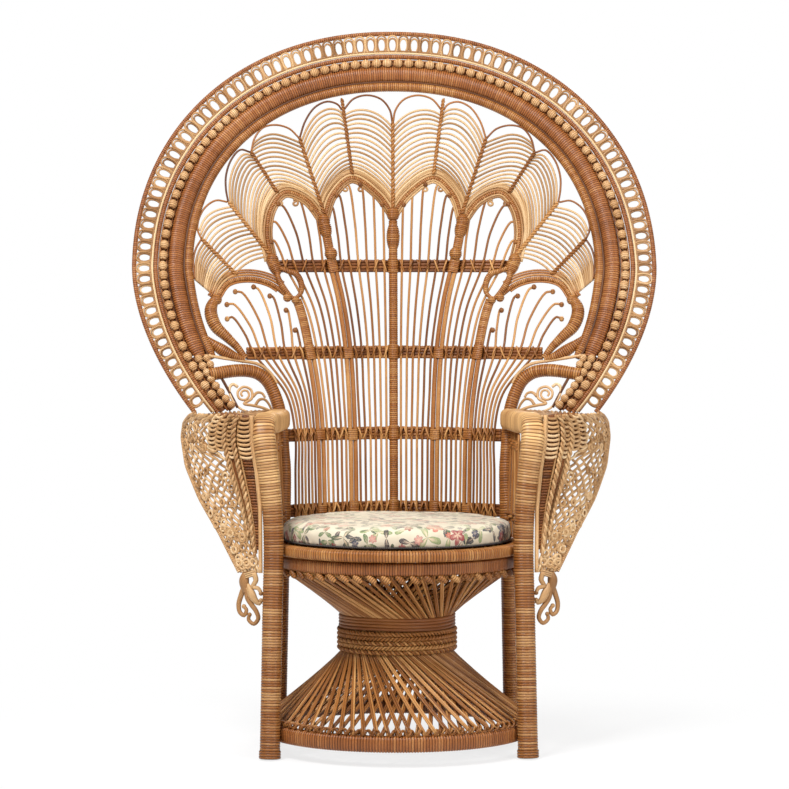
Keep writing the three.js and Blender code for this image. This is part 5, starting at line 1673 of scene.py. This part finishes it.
# %% Cushion, cut and filled
PAD_VOXEL = 5.0
PAD_CAP = 4.0
PAD_FRAMES = 20
PAD_EASE = 2.5
SEAMS = (6, 35)
SEAM_REACH = 6
CLOTH_SETTINGS = dict(
    quality=5, mass=0.3, tension_stiffness=30, compression_stiffness=30, bending_stiffness=1.5,
    use_pressure=True, uniform_pressure_force=3,
)
pad_low, pad_high = extent("cushion_pad")
PAD_RADIUS = radius_of("cushion_pad")
PAD_FLOOR = pad_low[2]
PAD_TOP = pad_high[2]


def pad_profile():
    """Half of the cut pad, from the middle of the underside round to the middle of the top."""
    side = PAD_RADIUS + PAD_EASE
    under = [(0.5, 1), (side - 7, 1), (side - 1, 3), (side, 10)]
    over = [(side, 14), (side - 2, 8.5), (side - 8, 6), (side - 90, 4), (0.5, 2.5)]
    points = [(reach, PAD_FLOOR + rise) for reach, rise in under]
    points += [(reach, PAD_TOP - fall) for reach, fall in over]
    return smooth(points, 6.0)


def lathe(profile, count=128):
    """A closed skin turned round the seat axis."""
    angles = np.linspace(0, 2 * np.pi, count, endpoint=False)
    ring = np.stack([np.cos(angles), np.sin(angles)], axis=1)
    points = [np.column_stack([ring * radius, np.full(count, z)]) for radius, z in profile]
    faces = []
    for i in range(len(profile) - 1):
        for k in range(count):
            n = (k + 1) % count
            faces.append((i * count + k, i * count + n, (i + 1) * count + n, (i + 1) * count + k))
    faces.append(tuple(range(count))[::-1])
    faces.append(tuple((len(profile) - 1) * count + k for k in range(count)))
    return np.vstack(points), faces


def coordinates(mesh):
    flat = np.zeros(len(mesh.vertices) * 3, np.float32)
    mesh.vertices.foreach_get("co", flat)
    return flat.reshape(-1, 3).astype(float)


def fill(pad):
    """Blows the skin up as cloth and keeps the result."""
    cloth = pad.modifiers.new("fill", "CLOTH")
    for setting, value in CLOTH_SETTINGS.items():
        setattr(cloth.settings, setting, value)
    cloth.settings.effector_weights.gravity = 0
    for number in range(1, PAD_FRAMES + 1):
        scene.frame_set(number)
    filled = pad.evaluated_get(bpy.context.evaluated_depsgraph_get()).to_mesh()
    result = coordinates(filled)
    pad.modifiers.remove(cloth)
    scene.frame_set(1)
    return result


def cushion():
    points, faces = lathe(pad_profile())
    mesh = bpy.data.meshes.new("cushion_cover")
    mesh.from_pydata(to_frame(points).tolist(), [], faces)
    pad = add("cushion_cover", mesh)
    remesh = pad.modifiers.new("skin", "REMESH")
    remesh.mode = "VOXEL"
    remesh.voxel_size = PAD_VOXEL * MM
    skin = bpy.data.meshes.new_from_object(pad.evaluated_get(bpy.context.evaluated_depsgraph_get()))
    pad.modifiers.clear()
    pad.data = skin
    before = coordinates(skin)
    after = fill(pad)
    move = after - before
    size = np.linalg.norm(move, axis=1, keepdims=True)
    move *= np.minimum(1, PAD_CAP * MM / np.maximum(size, 1e-9))
    shape(pad, before + move)
    return pad


def shape(pad, points):
    """Presses the underside flat, puckers the cover at its seams and stores where the print falls."""
    local = (points - np.array([0.0, SEAT_AXIS_Y, 0.0])) / MM
    reach = np.hypot(local[:, 0], local[:, 1])
    angle = np.arctan2(local[:, 1], local[:, 0])
    height = local[:, 2] - PAD_FLOOR
    pucker = np.sin(61 * angle) + 0.7 * np.sin(38 * angle + 1.3) + 0.5 * np.sin(97 * angle + 0.4)
    near_side = ease(reach, PAD_RADIUS - 40, PAD_RADIUS - 8)
    low_seam, top_seam = (np.exp(-(((height - seam) / SEAM_REACH) ** 2)) * near_side for seam in SEAMS)
    pull = (0.6 * pucker - 0.8) * low_seam + (0.45 * pucker - 0.8) * top_seam
    grown = np.minimum(reach + pull, PAD_RADIUS + 0.5)
    rolling = 1.1 * np.sin(local[:, 0] / 47 + 0.7) * np.sin(local[:, 1] / 39) * ease(height, 30, 40)
    local[:, :2] *= (grown / np.maximum(reach, 1e-6))[:, None]
    local[:, 2] = np.clip(local[:, 2] + rolling, PAD_FLOOR + 0.2, PAD_TOP + 1.5)
    flat = reach + np.maximum(PAD_TOP - 6 - local[:, 2], 0)
    cloth = np.stack([flat * np.cos(angle), flat * np.sin(angle), np.zeros(len(flat))], axis=1) * MM
    mesh = pad.data
    mesh.vertices.foreach_set("co", to_frame(local).astype(np.float32).ravel())
    layer = mesh.attributes.new("print", "FLOAT_VECTOR", "POINT")
    layer.data.foreach_set("vector", cloth.astype(np.float32).ravel())
    mesh.polygons.foreach_set("use_smooth", np.ones(len(mesh.polygons), bool))
    mesh.update()


cushion_cover = cushion()
print("cushion cover:", len(cushion_cover.data.polygons), "faces before subdivision")

# %% [markdown]
# The print is a small all-over floral on cream cotton. It is grown, not drawn: the cloth is divided into
# cells, and in each cell a five-petal flower, a pair of leaves or a bud is turned to its own angle and
# given its own colour. Printed ink fades a little toward its edges and breaks up in the weave, so the
# shapes have soft borders. It is fainter where the cloth faces up, on the top.

# %% Cushion print
CLOTH = tint(228, 219, 197)
WORN_CLOTH = tint(214, 201, 175)
FLOWERS = [tint(170, 72, 76), tint(204, 116, 98), tint(74, 76, 98), tint(212, 150, 138)]
LEAVES = [tint(92, 118, 74), tint(140, 158, 104), tint(56, 64, 72)]
DARK_LEAVES = [tint(52, 58, 68), tint(70, 88, 62), tint(60, 52, 62)]
PETAL_HEART = tint(232, 206, 176)
PETAL_EDGE = tint(40, 40, 48)
FLOWER_SCALE = 12.5
LEAF_SCALE = 15.0
TOP_INK = 0.5
WOBBLE = 0.004
THREADS = 5200.0
PRINT_LAYERS = (
    (0.31, 3, 0.0290, 0.94, 4.0, LEAF_SCALE, LEAVES),
    (1.77, 2, 0.0210, 0.95, 5.0, LEAF_SCALE * 1.3, LEAVES[::-1]),
    (3.13, 2, 0.0250, 0.95, 6.0, LEAF_SCALE * 1.1, DARK_LEAVES),
    (4.59, 3, 0.0270, 0.96, 7.0, LEAF_SCALE * 1.05, DARK_LEAVES[::-1]),
    (0.93, 5, 0.0185, 0.50, 1.0, FLOWER_SCALE, FLOWERS),
    (2.41, 6, 0.0100, 0.40, 1.0, FLOWER_SCALE * 1.6, FLOWERS[::-1]),
)


def local_polar(paint, where, scale, seed):
    """Distance and turned angle from the middle of the cell, with the cell's own chance value."""
    moved = paint.vector("ADD", where, (seed, seed * 1.7, 0.0))
    outputs = paint.cells(moved, scale)
    off = paint.vector("SUBTRACT", moved, outputs["Position"])
    x, y, _ = paint.split(off)
    chance = paint.split(outputs["Color"])
    angle = paint.plus(paint.sum("ARCTAN2", y, x), paint.times(chance[0], 6.283))
    return paint.vector("LENGTH", off, out=1), angle, chance


def petals(paint, where, scale, seed, count, size, depth, slender):
    """A mask of flowers with a number of petals, how far inside it lies and each flower's chance values."""
    distance, angle, chance = local_polar(paint, where, scale, seed)
    wave = paint.sum("ABSOLUTE", paint.sum("COSINE", paint.times(angle, count / 2)))
    wave = paint.sum("POWER", wave, slender)
    reach = paint.times(paint.plus(paint.times(wave, depth), 1 - depth), size)
    reach = paint.times(reach, paint.plus(paint.times(chance[2], 0.5), 0.7))
    inside = paint.sum("SUBTRACT", reach, distance)
    return paint.span(inside, -0.0002, 0.0009), inside, chance


def cushion_finish():
    paint = Paint(bpy.data.materials.new("cushion_cotton"))
    where = paint.fact("print", "Vector")
    wobble = paint.vector("SCALE", paint.noise(where, 130.0, output="Color"), Scale=WOBBLE)
    inked = paint.vector("ADD", where, wobble)
    colour = paint.blend(paint.noise(where, 12.0, 3.0), CLOTH, WORN_CLOTH)
    broken = paint.span(paint.noise(where, 420.0), 0.25, 0.55, 0.45, 0.96)
    upward = paint.split(paint.spot("Normal"))[2]
    broken = paint.times(broken, paint.span(upward, 0.6, 0.96, 1.0, TOP_INK))
    for seed, count, size, depth, slender, scale, inks in PRINT_LAYERS:
        mask, inside, chance = petals(paint, inked, scale, seed, count, size, depth, slender)
        ink = paint.ramp(chance[1], [(k / len(inks), ink) for k, ink in enumerate(inks)])
        ink.node.color_ramp.interpolation = "CONSTANT"
        shaded = paint.blend(paint.span(inside, 0.004, size), ink, PETAL_HEART)
        edge = paint.blend(paint.span(inside, 0.0004, 0.0026), paint.blend(0.45, ink, PETAL_EDGE), shaded)
        colour = paint.blend(paint.times(mask, broken), colour, edge)
    warp, weft, _ = paint.split(paint.vector("SCALE", where, Scale=THREADS))
    weave = paint.times(paint.sum("SINE", warp), paint.sum("SINE", weft))
    fade = paint.span(paint.noise(where, 30.0, 4.0), 0.3, 0.7, 0.93, 1.0)
    paint.give(Base_Color=paint.blend(1.0, colour, paint.join(fade, fade, fade), "MULTIPLY"))
    paint.give(Roughness=paint.span(paint.noise(where, 60.0), 0.3, 0.7, 0.78, 0.92))
    paint.give(Sheen_Weight=0.15, Sheen_Roughness=0.5, Specular_IOR_Level=0.25)
    paint.bump(paint.plus(weave, paint.noise(where, 90.0, 3.0)), 0.0004, 0.3)
    return paint.material


cushion_cover.data.materials.clear()
cushion_cover.data.materials.append(cushion_finish())
subdivide = cushion_cover.modifiers.new("fine", "SUBSURF")
subdivide.levels = 1
subdivide.render_levels = 1
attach(cushion_cover, "cushion")
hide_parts("cushion_pad")
print("cushion cover rides on the cushion body")

# %% [markdown]
# The cord in the seam is covered cotton. A plain ring would do from far away. Close up, threads show, so
# the ring gets shallow grooves, the same trick as the wrapped poles at a finer pitch.

# %% Piping
PIPING_RADIUS = 1.8


def piping_finish():
    paint = Paint(bpy.data.materials.new("piping_cotton"))
    tone = paint.noise(paint.spot(), 40.0, 3.0)
    colour = paint.ramp(tone, [(0.3, tint(58, 54, 52)), (0.7, tint(104, 96, 88))])
    # The cord's grooves are painted darker: painted shade.
    shade = paint.blend(paint.ridge(0.35), tint(38, 35, 34), colour)
    paint.give(Base_Color=shade, Roughness=paint.span(tone, 0.3, 0.7, 0.75, 0.9))
    paint.bump(paint.noise(paint.spot(), 900.0), 0.0003, 0.4)
    return paint.material


piping = Bundle(171)
piping_low, piping_high = extent("cushion_piping")
seam = circle(radius_of("cushion_piping") - PIPING_RADIUS, (piping_low[2] + piping_high[2]) / 2, 300)
piping.tube(seam, PIPING_RADIUS, sides=10, ref=outward, closed=True, lap=4.0, groove=0.1)
piping.piece("cushion_cord", piping_finish(), "cushion_piping", body="cushion", slot="cushion_cord")

# %% [markdown]
# The studio is plain: a pale floor, one large soft lamp high on the left, weaker ones on the right and
# behind, and an even sky. The floor keeps a soft shadow near the chair and fades to white further out, by
# its own distance and not by where the camera stands.

# %% Studio
FLOOR_HALF = 12.0
FADE_START = 0.45
FADE_END = 1.0
FLOOR_KEEP = 0.22
LAMPS = (
    ("key", (-1.4, -2.3, 4.2), 1.5, 235),
    ("fill", (2.8, -3.0, 2.4), 1.6, 80),
    ("rear", (1.2, 3.6, 2.9), 2.2, 75),
)
LAMP_TARGET = (0, 0, 0.8)
SKY_STRENGTH = 0.31
WHITE = (1, 1, 1, 1)


def floor():
    mesh = bpy.data.meshes.new("floor")
    h = FLOOR_HALF
    mesh.from_pydata([(-h, -h, 0), (h, -h, 0), (h, h, 0), (-h, h, 0)], [], [(0, 1, 2, 3)])
    obj = add("floor", mesh)
    paint = Paint(bpy.data.materials.new("floor_paper"))
    paint.give(Base_Color=(0.86, 0.86, 0.86, 1), Roughness=0.9)
    rays = paint.node("LightPath").node.outputs
    seen = paint.sum("MAXIMUM", rays["Is Camera Ray"], rays["Is Glossy Ray"])
    seen = paint.sum("MAXIMUM", seen, rays["Is Transmission Ray"])
    distance = paint.vector("LENGTH", paint.vector("MULTIPLY", paint.spot(), (1.0, 1.0, 0.0)), out=1)
    share = paint.span(distance, FADE_START, FADE_END, 1 - FLOOR_KEEP, 1.0)
    glow = paint.node("Emission", WHITE)
    mix = paint.node("MixShader", paint.times(share, seen), paint.shader.outputs[0], glow)
    paint.feed(paint.tree.nodes["Material Output"].inputs["Surface"], mix)
    mesh.materials.append(paint.material)


def lamp(name, place, size, power):
    data = bpy.data.lights.new(name, "AREA")
    data.size = size
    data.energy = power
    obj = add(name, data)
    obj.location = place
    obj.rotation_euler = (Vector(LAMP_TARGET) - Vector(place)).to_track_quat("-Z", "Y").to_euler()


def sky():
    """An even sky that is white to look at and weaker as a light."""
    scene.world = bpy.data.worlds.new("studio")
    paint = Paint(scene.world, "Background")
    rays = paint.node("LightPath").node.outputs
    seen = paint.sum("MAXIMUM", rays["Is Camera Ray"], rays["Is Transmission Ray"])
    paint.give(Color=WHITE, Strength=paint.node("MapRange", seen, 0.0, 1.0, SKY_STRENGTH, 1.0))


floor()
for name, place, size, power in LAMPS:
    lamp(name, place, size, power)
sky()
scene.view_settings.view_transform = "Standard"
